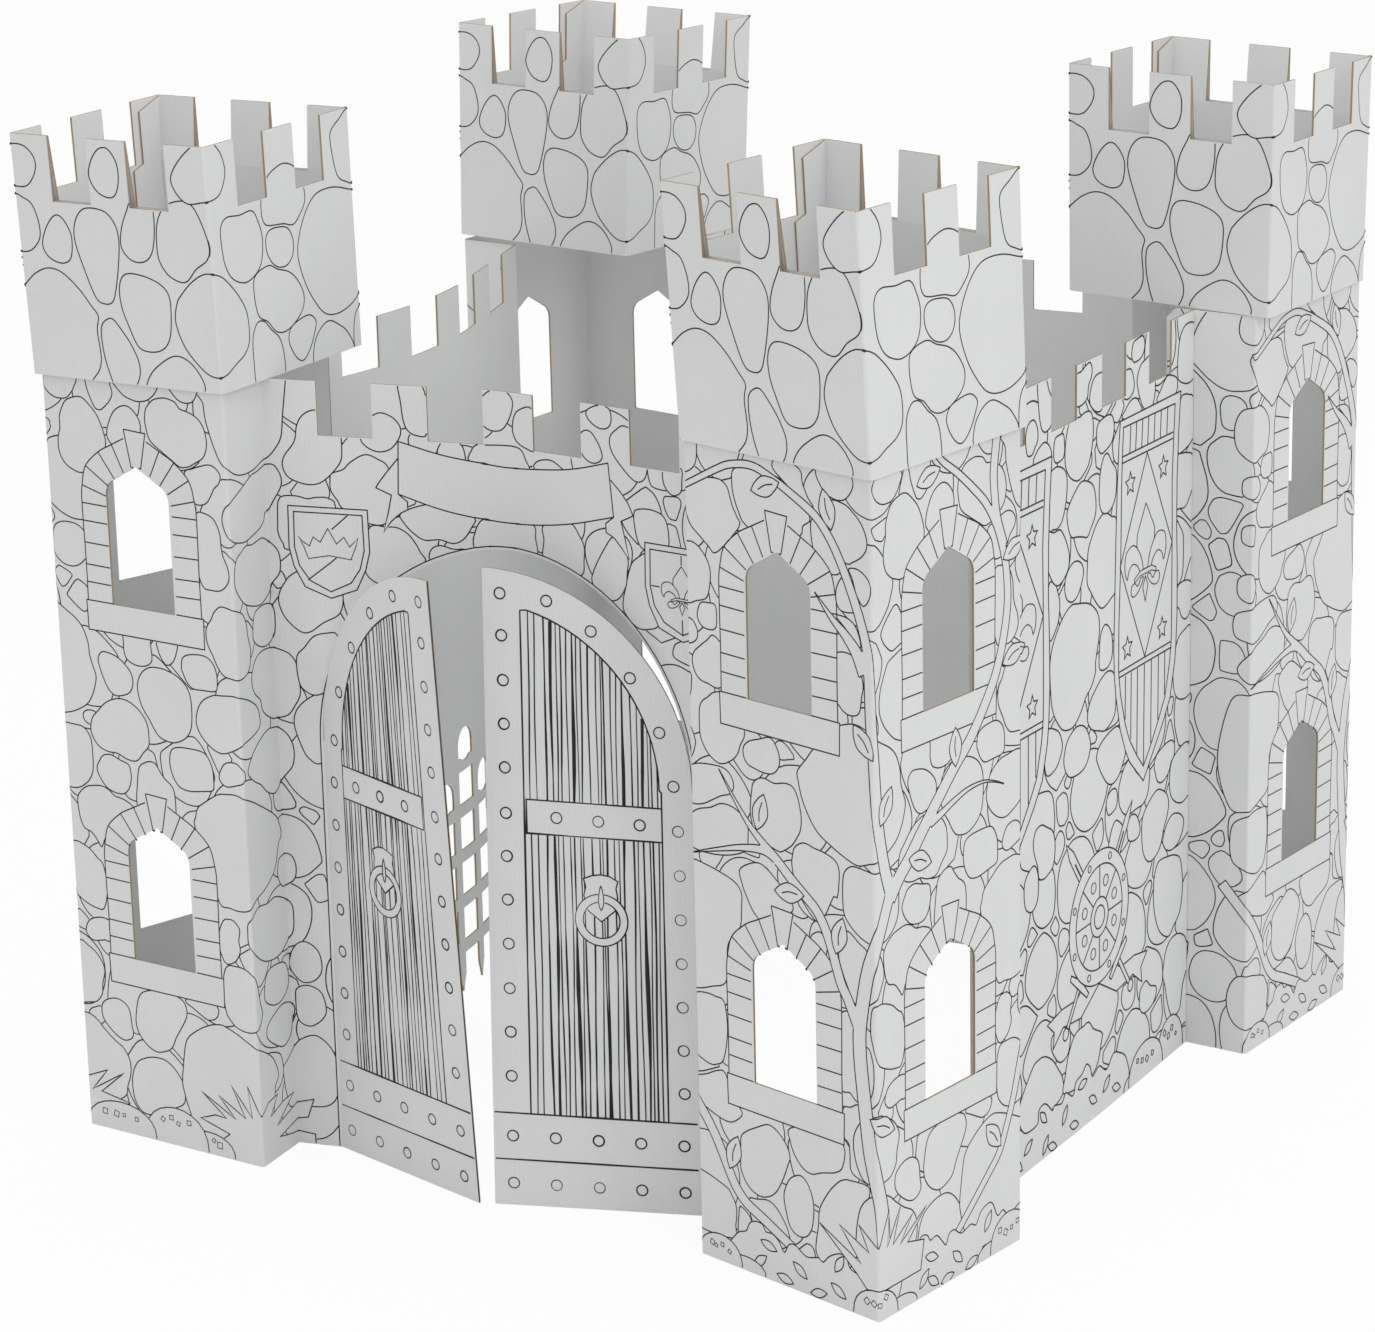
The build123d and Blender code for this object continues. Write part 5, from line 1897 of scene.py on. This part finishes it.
@dataclass(frozen=True)
class RightWallPrint:
    """Print of the wall between the right towers: two banners, a coat of arms, stones and a bushy foot."""

    STONES = outlines(
        """
        197,1112 198,1085 203,1059 210,1044 220,1039 230,1041 238,1047 239,1079 230,1095 220,1112;
        182,1064 192,1057 197,1045 196,1032 187,1024 180,1017 165,1020 160,1045 168,1060;
        183,1005 193,1017 207,1024 218,1026 230,1020 238,1009 238,995 233,982 225,975 200,980;
        247,1019 252,1025 263,1026 275,1025 278,1015 279,1002 275,992 258,989 248,993 245,1005;
        292,1034 307,1036 317,1038 327,1037 340,1040 357,1039 365,1032 369,1015 368,999 362,979 353,964
        337,954 323,950 307,954 292,964 282,979 280,995 283,1015;
        380,1009 388,1017 403,1020 417,1021 430,1017 436,1005 435,990 427,979 413,974 397,971 387,977
        380,990;
        317,1097 330,1099 347,1105 358,1106 364,1097 362,1085 353,1075 350,1060 340,1054 327,1052 314,1055
        308,1075;
        402,1082 383,1085 370,1081 362,1072 357,1060 358,1049 367,1040 380,1033 397,1034 406,1060;
        472,1069 487,1071 495,1067 502,1054 503,1040 495,1032 482,1029 468,1034 464,1050;
        495,1095 500,1105 517,1108 533,1108 539,1095 533,1082 520,1077 502,1077 495,1085;
        565,1077 543,1073 527,1069 517,1059 513,1049 517,1035 525,1020 540,1003 565,1001 575,1015 577,1034
        578,1060;
        463,1007 473,1015 487,1023 500,1026 513,1024 523,1015 530,1003 500,994;
        583,1005 597,1019 610,1029 620,1034 637,1031 653,1024 656,1015 652,1004 620,995;
        688,1095 673,1090 663,1079 657,1059 655,1035 658,1022 670,1014 693,1008 715,1012 740,1035 735,1080
        710,1093;
        255,984 270,980 282,972 287,959 286,939 280,919 270,904 257,898 243,900 232,901 222,940 226,975
        240,982;
        228,899 247,895 265,895 277,885 288,869 295,852 292,835 280,824 263,818 247,824 230,845 220,870;
        232,827 252,822 258,812 265,795 263,772 252,757 235,747 225,780;
        287,912 297,925 313,937 332,946 353,942 370,932 378,912 377,890 363,874 352,864 340,867 320,872
        303,875 292,889;
        403,965 413,968 420,964 430,952 443,940 446,925 443,902 433,889 417,883 400,887 390,902 389,925
        393,949;
        283,822 297,835 315,839 333,832 340,819 335,805 323,790 307,784 290,790 281,805;
        352,825 355,845 367,862 383,877 402,885 413,884 430,875 447,864 455,800 443,764 433,759 413,752
        397,752 380,765 363,784 352,799;
        235,712 242,735 260,757 280,772 303,780 323,777 347,772 367,764 387,747 392,729 390,709 380,679
        380,665 367,647 350,637 333,619 313,606 293,605 273,612 253,632 242,652 237,679;
        393,700 398,717 410,725 423,719 433,705 436,685 432,669 420,661 403,661 392,669;
        355,609 362,625 380,639 400,650 420,655 437,650 445,639 448,619 447,592 437,579 413,571 393,576
        370,584 357,597;
        230,623 253,617 267,607 275,589 270,575 253,560 225,560 218,600;
        280,560 287,585 303,597 323,602 343,597 357,584 365,560 345,535 300,535;
        668,990 683,994 700,990 713,984 725,950 713,924 693,915 660,914 655,950;
        660,909 673,910 693,907 713,899 725,870 713,849 700,835 687,828 670,830 655,835 650,870;
        658,812 670,804 682,789 684,765 683,739 677,725 663,720 655,760;
        663,714 680,719 700,717 713,710 718,690 712,669 697,660 680,667 670,682 655,690;
        662,630 673,640 693,645 713,646 735,620 735,560 700,540 660,555 650,600;
        432,979 433,965 438,952 452,946 460,975 457,1003 447,995;
        393,523 407,505 423,490 443,485 463,493 480,513 482,523 463,560 440,566 400,556 385,540;
        418,463 425,473 440,477 452,473 456,460 452,447 437,442 425,443 419,453;
        462,450 460,470 470,488 483,500 500,503 520,480 545,465 568,473 568,450 562,433 547,423 523,423
        500,422 480,428 467,440;
        428,400 437,418 450,427 463,422 477,410 477,397 463,383 447,376 433,373 426,383;
        492,397 490,407 500,417 513,418 527,410 537,390 533,380 522,377 503,380 493,388;
        550,408 573,422 597,429 617,423 633,412 640,397 635,380 623,363 613,343 600,332 580,327 563,332
        550,347 544,367 543,393;
        585,470 593,482 617,489 637,491 653,488 660,477 657,463 647,457 640,445 627,438 612,436 597,443
        590,457;
        642,433 645,450 653,460 673,468 700,472 713,465 735,430 730,400 713,388 690,383 667,390 650,403
        642,420;
        620,347 630,363 647,373 663,374 683,367 696,355 693,340 677,325 653,321 633,327 622,338;
        598,313 613,318 640,315 663,310 683,300 690,283 695,260 692,233 683,213 663,200 643,190 610,210
        590,250 588,290;
        627,150 633,167 647,180 670,184 693,178 710,163 718,127 700,97 690,63 673,57 657,63 643,87 633,117
        625,133;
        540,127 543,140 563,148 580,135 600,127 599,113 587,103 567,99 550,103 540,115;
        187,460 185,477 193,490 210,493 227,485 247,472 253,448 247,423 230,415 217,413 203,418 198,437;
        180,441 193,438 200,423 201,407 197,387 180,377 160,390 158,425;
        242,160 245,172 267,177 287,172 303,162 303,143 295,128 278,124 263,130 247,148;
        287,72 288,100 300,130 320,150 347,153 365,153 380,138 407,123 408,112 380,70;
        180,145 200,153 223,151 247,137 263,120 280,97 277,73 220,60 160,60 140,100
        """
    )
    GROWTH = Growth(
        (Pebble(565, 62, 55), Pebble(654, 48, 62), Pebble(620, 30, 24), Pebble(520, 34, 22),
         Pebble(700, 36, 28)),
        (
            "-30,60 0,74 20,66 44,82 66,70 90,76 112,62 140,72 160,60 180,57 200,60 203,77 217,82 230,77 "
            "247,62 253,67 277,62 290,73 313,60 323,77 343,82 357,92 370,83 378,66 400,74 425,60 448,76 "
            "470,70 492,56 505,30",
        ),
        (
            (218, 62, -45), (287, 40, 60), (225, 18, 55), (345, 66, 10), (247, 8, -20), (318, 14, -15),
            (170, 35, 30), (380, 30, -30), (425, 38, 40), (460, 20, -20), (140, 18, -40), (90, 40, 35),
            (50, 22, -25), (20, 45, 50),
        ),
    )

    def draw(self, drawing: Drawing, panel: Panel) -> None:
        """Draws the wall.

        Args:
            drawing: where it goes.
            panel: the wall, measured from its left end.
        """
        self.GROWTH.draw(drawing, panel)
        for shift in (0.0, -428.0):
            WallBanner(shift).draw(drawing, panel)
        Arms(398.0, 300.0).draw(drawing, panel)
        for outline in self.STONES:
            drawing.shape(panel.to(outline))


@dataclass
class FrontSheetPrint:
    """Artwork of the front sheet: two towers, the doorway wall and the right wall."""

    skin: SheetSkin

    STONES = outlines(
        """
        78,1070 60,1063 50,1048 45,1025 30,1005 26,990 35,974 62,966 85,972 110,998 114,1020 112,1042
        100,1062;
        157,1064 172,1071 190,1065 200,1052 198,1038 185,1022 167,1017 150,1023 141,1035 144,1052;
        101,936 92,948 75,949 60,946 45,949 25,948 17,940 15,915 15,895 22,880 30,872 90,880;
        95,975 97,983 115,990 125,1000 147,1012 165,1007 180,996 185,960 175,920 147,917 112,935 105,945
        95,960;
        148,909 175,913 190,913 205,905 215,893 222,880 228,867 200,840 170,830 140,850;
        197,935 200,920 215,905 230,898 250,900 270,896 285,903 297,920 300,935 250,950;
        235,870 237,885 250,892 270,888 290,887 300,860 250,850;
        252,1018 256,1032 262,1036 283,1035 290,1025 290,1008 270,1002;
        298,1010 300,1025 308,1034 325,1035 350,1037 375,1035 385,1020 388,1006 340,1000;
        322,935 302,915 303,888 350,880 396,888 397,915 390,935;
        412,936 411,915 410,888 440,870 473,876 477,895 478,915 470,930 455,944;
        398,1012 405,1022 425,1026 440,1020 448,1012 420,1004;
        490,868 493,885 510,915 527,935 545,920 550,905 548,890 545,870 530,850 505,850;
        590,922 562,910 552,895 545,870 540,850 542,835 560,818 580,817 600,830 600,880;
        561,970 568,978 590,980 610,973 617,950 612,930 577,925 565,940;
        505,1109 488,1100 490,1090 505,1080 520,1080 528,1090 525,1107;
        477,1065 483,1073 495,1072 508,1055 512,1040 503,1032 490,1032 478,1043;
        551,1087 535,1080 525,1068 528,1050 545,1030 565,1015 580,1020 585,1040 580,1070;
        640,1040 640,1025 638,1010 625,1004 612,1015 610,1036 625,1050;
        200,1116 202,1085 205,1060 212,1047 225,1042 238,1046 239,1092 228,1116;
        315,1095 328,1108 350,1113 365,1100 362,1080 350,1060 335,1055 320,1060 308,1078;
        397,1092 380,1090 368,1080 364,1060 370,1045 385,1037 402,1036 408,1065;
        32,838 20,825 12,810 11,795 20,775 40,758 55,758 75,772 100,787 106,812 100,840 60,850;
        95,756 80,758 60,752 45,735 33,720 35,685 45,672 60,668 80,680 100,720;
        72,673 55,667 38,655 27,640 25,620 35,590 45,575 62,570 90,600 90,650
        """
    )
    ARCH_LINE = 4.5
    RIBBON_TOP = trace("196,1033 250,1019 300,1011 350,1007 400,1010 460,1018 521,1034")
    RIBBON_FOOT = trace("528,962 460,944 400,934 350,931 300,934 250,943 193,960")
    LEFT_TAIL = trace(
        "196,1011 178,990 166,975 161,967 183,958 178,935 170,906 182,922 196,934 206,939 206,950 193,960"
    )
    RIGHT_TAIL = trace(
        "523,1013 540,998 552,984 560,968 540,958 546,935 552,908 540,922 528,934 515,940 515,952 528,962"
    )
    CROWN = trace(
        "44,893 50,886 60,880 66,893 76,886 88,906 100,885 111,895 119,882 132,895 127,880 120,864 88,868 "
        "58,862 52,878"
    )

    def drawing(self) -> Drawing:
        """Draws the whole sheet.

        Returns:
            The drawing.
        """
        d = Drawing()
        self.edges(d)
        skin = self.skin
        left, right = Panel(skin.middle("a.c")), Panel(skin.middle("b.c"))
        wall = Panel(skin.start("a.fr"))
        TowerPrint(False).draw(d, left)
        TowerPrint(True).draw(d, right)
        self.wall(d, wall)
        RightWallPrint().draw(d, Panel(skin.start("b.sr")))
        for outline in self.STONES:
            d.shape(wall.to(outline))
        TowerPrint(False).stones(d, left)
        TowerPrint(True).stones(d, right)
        Stones(3).fill(d, 0, 0, skin.line.length, WALL_TOP)
        return d

    def edges(self, d: Drawing) -> None:
        """Keeps ink off the cut-outs and inside the sheet.

        Args:
            d: the drawing.
        """
        cut_outline(d, self.skin)
        middle = self.skin.start("a.fr") + DOOR_CENTRE
        opening = arch(middle, DOOR_SPRING, DOOR_RADIUS + 0.6, 0, 180, 40)
        d.cover([(middle - DOOR_RADIUS, -60), (middle + DOOR_RADIUS, -60), *opening])

    def wall(self, d: Drawing, panel: Panel) -> None:
        """Draws the banner, the two shields and the line round the arch.

        Args:
            d: the drawing.
            panel: the wall, measured from its left end.
        """
        reach = DOOR_RADIUS + self.ARCH_LINE
        over = arch(DOOR_CENTRE, DOOR_SPRING, reach, 0, 180, 48)
        d.line(panel.to([(DOOR_CENTRE + reach, 2), *over, (DOOR_CENTRE - reach, 2)]), smooth=False)
        d.cover(panel.to([(DOOR_CENTRE + reach, -2), *over, (DOOR_CENTRE - reach, -2)]))
        top, foot = (spline(edge, False, 12).tolist() for edge in (self.RIBBON_TOP, self.RIBBON_FOOT))
        d.shape(panel.to(top + foot), smooth=False)
        d.shape(panel.to(self.LEFT_TAIL), smooth=False)
        d.line(panel.to(trace("193,960 206,939")), smooth=False)
        d.shape(panel.to(self.RIGHT_TAIL), smooth=False)
        d.line(panel.to(trace("528,962 515,940")), smooth=False)
        self.crown_shield(d, panel)
        self.lily_shield(d, panel)

    def crown_shield(self, d: Drawing, panel: Panel) -> None:
        """Draws the shield with a crown over a diagonal.

        Args:
            d: the drawing.
            panel: the wall, measured from its left end.
        """
        d.shape(panel.to(self.CROWN), DETAIL_LINE, smooth=False)
        for row in ("58,869 88,874 122,868", "57,866 88,871 122,865"):
            d.line(panel.to(trace(row)), DETAIL_LINE)
        for row in ("56,832 90,858", "90,858 102,868", "94,905 118,926"):
            d.line(panel.to(trace(row)), smooth=False)
        self.shield(d, panel, 31.0, 147.0)

    def lily_shield(self, d: Drawing, panel: Panel) -> None:
        """Draws the shield with a lily over a cross.

        Args:
            d: the drawing.
            panel: the wall, measured from its left end.
        """
        lily(d, panel, 636.0, 863.0, 0.46)
        for row in ("636,925 636,912", "587,878 600,878", "672,878 685,878", "636,838 636,818"):
            d.line(panel.to(trace(row)), smooth=False)
        self.shield(d, panel, 578.0, 694.0)

    def shield(self, d: Drawing, panel: Panel, x0: float, x1: float) -> None:
        """Draws a double shield outline."""
        d.line(panel.to(shield_outline(x0, x1, 935, 808, 8)), closed=True, smooth=False)
        d.shape(panel.to(shield_outline(x0, x1, 935, 808, 0)), smooth=False)


def lily(d: Drawing, panel: Panel, x: float, z: float, scale: float) -> None:
    """Draws a heraldic lily.

    Args:
        d: the drawing.
        panel: the stretch of skin that it lies on.
        x: distance of the middle of its band.
        z: height of the middle of its band.
        scale: its size.
    """

    def at(text: str, flip: int = 1) -> Points:
        return panel.to([(x + flip * a * scale, z + b * scale) for a, b in trace(text)])

    d.shape(at("-38,1 -18,8 22,7 37,1 37,-5 22,0 -18,1 -38,-5"), HAIR_LINE, smooth=False)
    for flip in (-1, 1):
        d.shape(at("7,2 15,28 35,48 50,51 67,45 72,30 70,15 63,6 59,16 45,24 28,18 17,5", flip), DETAIL_LINE)
        d.shape(at("7,-3 15,-14 28,-22 42,-24 50,-17 47,-7 35,-6 28,-12 22,-9 17,-3", flip), DETAIL_LINE)
    d.shape(at("0,103 30,63 31,48 14,8 -14,8 -31,48 -30,63"), DETAIL_LINE, smooth=False)
    d.shape(at("0,-3 9,-18 0,-40 -9,-18"), DETAIL_LINE, smooth=False)


@dataclass
class RearSheetPrint:
    """Artwork of the rear sheet: two towers, the rear wall and the wall with the gate."""

    skin: SheetSkin

    SPRING = 400
    SURROUND = 46
    ARCH_STONES = 9
    COURSE = 52

    def drawing(self) -> Drawing:
        """Draws the whole sheet.

        Returns:
            The drawing.
        """
        d = Drawing()
        skin = self.skin
        cut_outline(d, skin)
        self.gate(d, skin.start("b.sr"))
        right, left = Panel(skin.middle("a.c")), Panel(skin.middle("b.c"))
        TowerPrint(True).draw(d, right)
        TowerPrint(False).draw(d, left)
        TowerPrint(True).stones(d, right)
        TowerPrint(False).stones(d, left)
        Stones(5).fill(d, 0, 0, skin.line.length, WALL_TOP)
        return d

    def gate(self, d: Drawing, wall: float) -> None:
        """Draws the arch stones round the barred gate and keeps ink off it.

        Args:
            d: the drawing.
            wall: distance of the wall's left end.
        """
        x = wall + GATE_CENTRE
        side = 1.5 * BAR_PITCH + 14
        outer = side + self.SURROUND

        def doorway(half: float, count: int) -> Points:
            over = arch(x, self.SPRING, half, 0, 180, count)[1:]
            return [(x - half, -20), (x + half, -20), (x + half, self.SPRING), *over]

        d.shape(doorway(side, 16), smooth=False)
        for k in range(self.ARCH_STONES):
            a = math.radians(180 * (k + 0.5) / self.ARCH_STONES)
            c, s = math.cos(a), math.sin(a)
            joint = [(x + side * c, self.SPRING + side * s), (x + outer * c, self.SPRING + outer * s)]
            d.line(joint, smooth=False)
        for sign in (-1, 1):
            for z in range(40, self.SPRING, self.COURSE):
                d.line([(x + sign * side, z), (x + sign * outer, z)], smooth=False)
        d.shape(doorway(outer, 20), smooth=False)


def cut_outline(d: Drawing, skin: SheetSkin) -> None:
    """Keeps ink inside a sheet's cut outline: its ends, foot, top and crenels.

    Args:
        d: the drawing.
        skin: the sheet.
    """
    length = skin.line.length
    d.box(-FAR, -FAR, length + FAR, 0.8)
    d.box(-FAR, WALL_TOP - 0.6, length + FAR, WALL_TOP + FAR)
    d.box(-FAR, -FAR, 1.0, WALL_TOP + FAR)
    d.box(length - 1.0, -FAR, length + FAR, WALL_TOP + FAR)
    for start, end in (("a.fr", "b.fr"), ("b.sr", "end")):
        x0 = skin.start(start)
        step = (skin.stop(end) - x0) / WALL_DIVISIONS
        for i in range(1, WALL_DIVISIONS, 2):
            d.box(x0 + i * step - 0.6, WALL_TOP - GAP_DEPTH - 0.6, x0 + (i + 1) * step + 0.6, WALL_TOP + 60)


@dataclass
class RawEdges:
    """Upright cut edges of one board piece, as a brown skin just proud of the white board."""

    narrowest: float = 2.0
    widest: float = 7.5
    proud: float = 0.06
    thickness: float = 0.16
    weld: float = 1e-5
    flat_angle: float = 0.6
    sharp_cosine: float = 0.5
    level: float = 0.7

    def build(self, node: bpy.types.Object, material: bpy.types.Material) -> bpy.types.Object:
        """Copies the board's cut faces and gives them the raw finish.

        Args:
            node: the board piece.
            material: the raw finish.

        Returns:
            The new piece.
        """
        bpy.ops.object.select_all(action="DESELECT")
        name = f"{node.name.split('.')[0]}_raw_edges"
        piece = bpy.data.objects.new(name, node.data.copy())
        bpy.context.collection.objects.link(piece)
        bpy.context.view_layer.objects.active = piece
        piece.select_set(True)
        bpy.ops.object.mode_set(mode="EDIT")
        bpy.ops.mesh.select_all(action="SELECT")
        bpy.ops.mesh.remove_doubles(threshold=self.weld)
        bpy.ops.mesh.dissolve_limited(angle_limit=math.radians(self.flat_angle))
        bpy.ops.mesh.select_mode(type="FACE")
        bpy.ops.mesh.select_all(action="DESELECT")
        bpy.ops.object.mode_set(mode="OBJECT")
        self.select_main_faces(piece.data)
        bpy.ops.object.mode_set(mode="EDIT")
        bpy.ops.mesh.delete(type="FACE")
        bpy.ops.mesh.select_all(action="SELECT")
        bpy.ops.transform.shrink_fatten(value=self.proud * MM)
        bpy.ops.object.mode_set(mode="OBJECT")
        bpy.ops.object.modifier_add(type="SOLIDIFY")
        piece.modifiers[0].thickness = self.thickness * MM
        piece.modifiers[0].offset = -1.0
        bpy.ops.object.modifier_apply(modifier=piece.modifiers[0].name)
        piece.data.materials.clear()
        piece.data.materials.append(material)
        piece.select_set(False)
        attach(piece, "root")
        log.info("%s: %d faces", name, len(piece.data.polygons))
        return piece

    def select_main_faces(self, mesh: bpy.types.Mesh) -> None:
        """Selects every face that isn't an upright cut: the cuts lie between two sharp edges a board apart.

        Args:
            mesh: the board's mesh.
        """
        sharp: dict[tuple[int, int], list[Vector]] = {}
        for face in mesh.polygons:
            for key in face.edge_keys:
                sharp.setdefault(key, []).append(face.normal.copy())
        for face in mesh.polygons:
            run = 0.0
            for key in face.edge_keys:
                sides = sharp[key]
                if len(sides) == 2 and sides[0].dot(sides[1]) < self.sharp_cosine:
                    run += (mesh.vertices[key[0]].co - mesh.vertices[key[1]].co).length
            width = 2 * face.area / run / MM if run else 0.0
            face.select = not (self.narrowest < width < self.widest and abs(face.normal.z) < self.level)


@dataclass
class Castle:
    """The whole castle: its board and its print."""

    def build(self, nodes: dict[str, bpy.types.Object]) -> None:
        """Dresses the board and lays the print on it.

        Args:
            nodes: the solid pieces by name.
        """
        board = BoardFinish().material()
        for name, node in nodes.items():
            node.data.materials.clear()
            node.data.materials.append(board)
            log.info("%s dressed", name)
        raw = RawEdgeFinish().material()
        for name, node in sorted(nodes.items()):
            RawEdges().build(node, raw)
        ink = InkFinish().material()
        Ink(FRONT_SHEET).piece(FrontSheetPrint(FRONT_SHEET).drawing(), "front_sheet_print", ink)
        Ink(REAR_SHEET).piece(RearSheetPrint(REAR_SHEET).drawing(), "rear_sheet_print", ink)
        cap_print = CapPrint().drawing()
        for corner in Corner:
            turned = corner in (Corner.REAR_RIGHT, Corner.REAR_LEFT)
            Ink(CapSkin(corner, turned)).piece(cap_print, f"cap_print_{corner.value}", ink)
        leaf_print = Drawing()
        DoorLeaf().draw(leaf_print)
        for name, skin in self.leaves().items():
            Ink(skin).piece(leaf_print, f"door_leaf_print_{name}", ink)

    def leaves(self) -> dict[str, LeafSkin]:
        """Works out where the two door leaves stand.

        Returns:
            Their skins by side.
        """
        a, b = tower_points(Corner.FRONT_LEFT), tower_points(Corner.FRONT_RIGHT)
        line = [a["fr"], *[bend.point(a["fr"], b["fr"]) for bend in FRONT_SHEET.wall_one], b["fr"]]
        run = sum(float(np.linalg.norm(q - p)) for p, q in zip(line, line[1:]))
        left = line[0] + unit(line[1] - line[0]) * (DOOR_CENTRE - DOOR_RADIUS)
        right = line[-1] - unit(line[-1] - line[-2]) * (run - DOOR_CENTRE - DOOR_RADIUS)
        return {"left": LeafSkin(left, -13.4, -22.7, 1), "right": LeafSkin(right, 201.0, 193.0, -1)}


def main() -> None:
    """Builds the scene piece by piece."""
    logging.basicConfig(level=logging.INFO, format="%(message)s")
    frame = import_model()
    bpy.ops.object.select_all(action="DESELECT")
    scene = bpy.context.scene
    scene.view_settings.view_transform = "Standard"
    Castle().build(frame["nodes"])
    Studio().build()


if __name__ == "__main__":
    main()
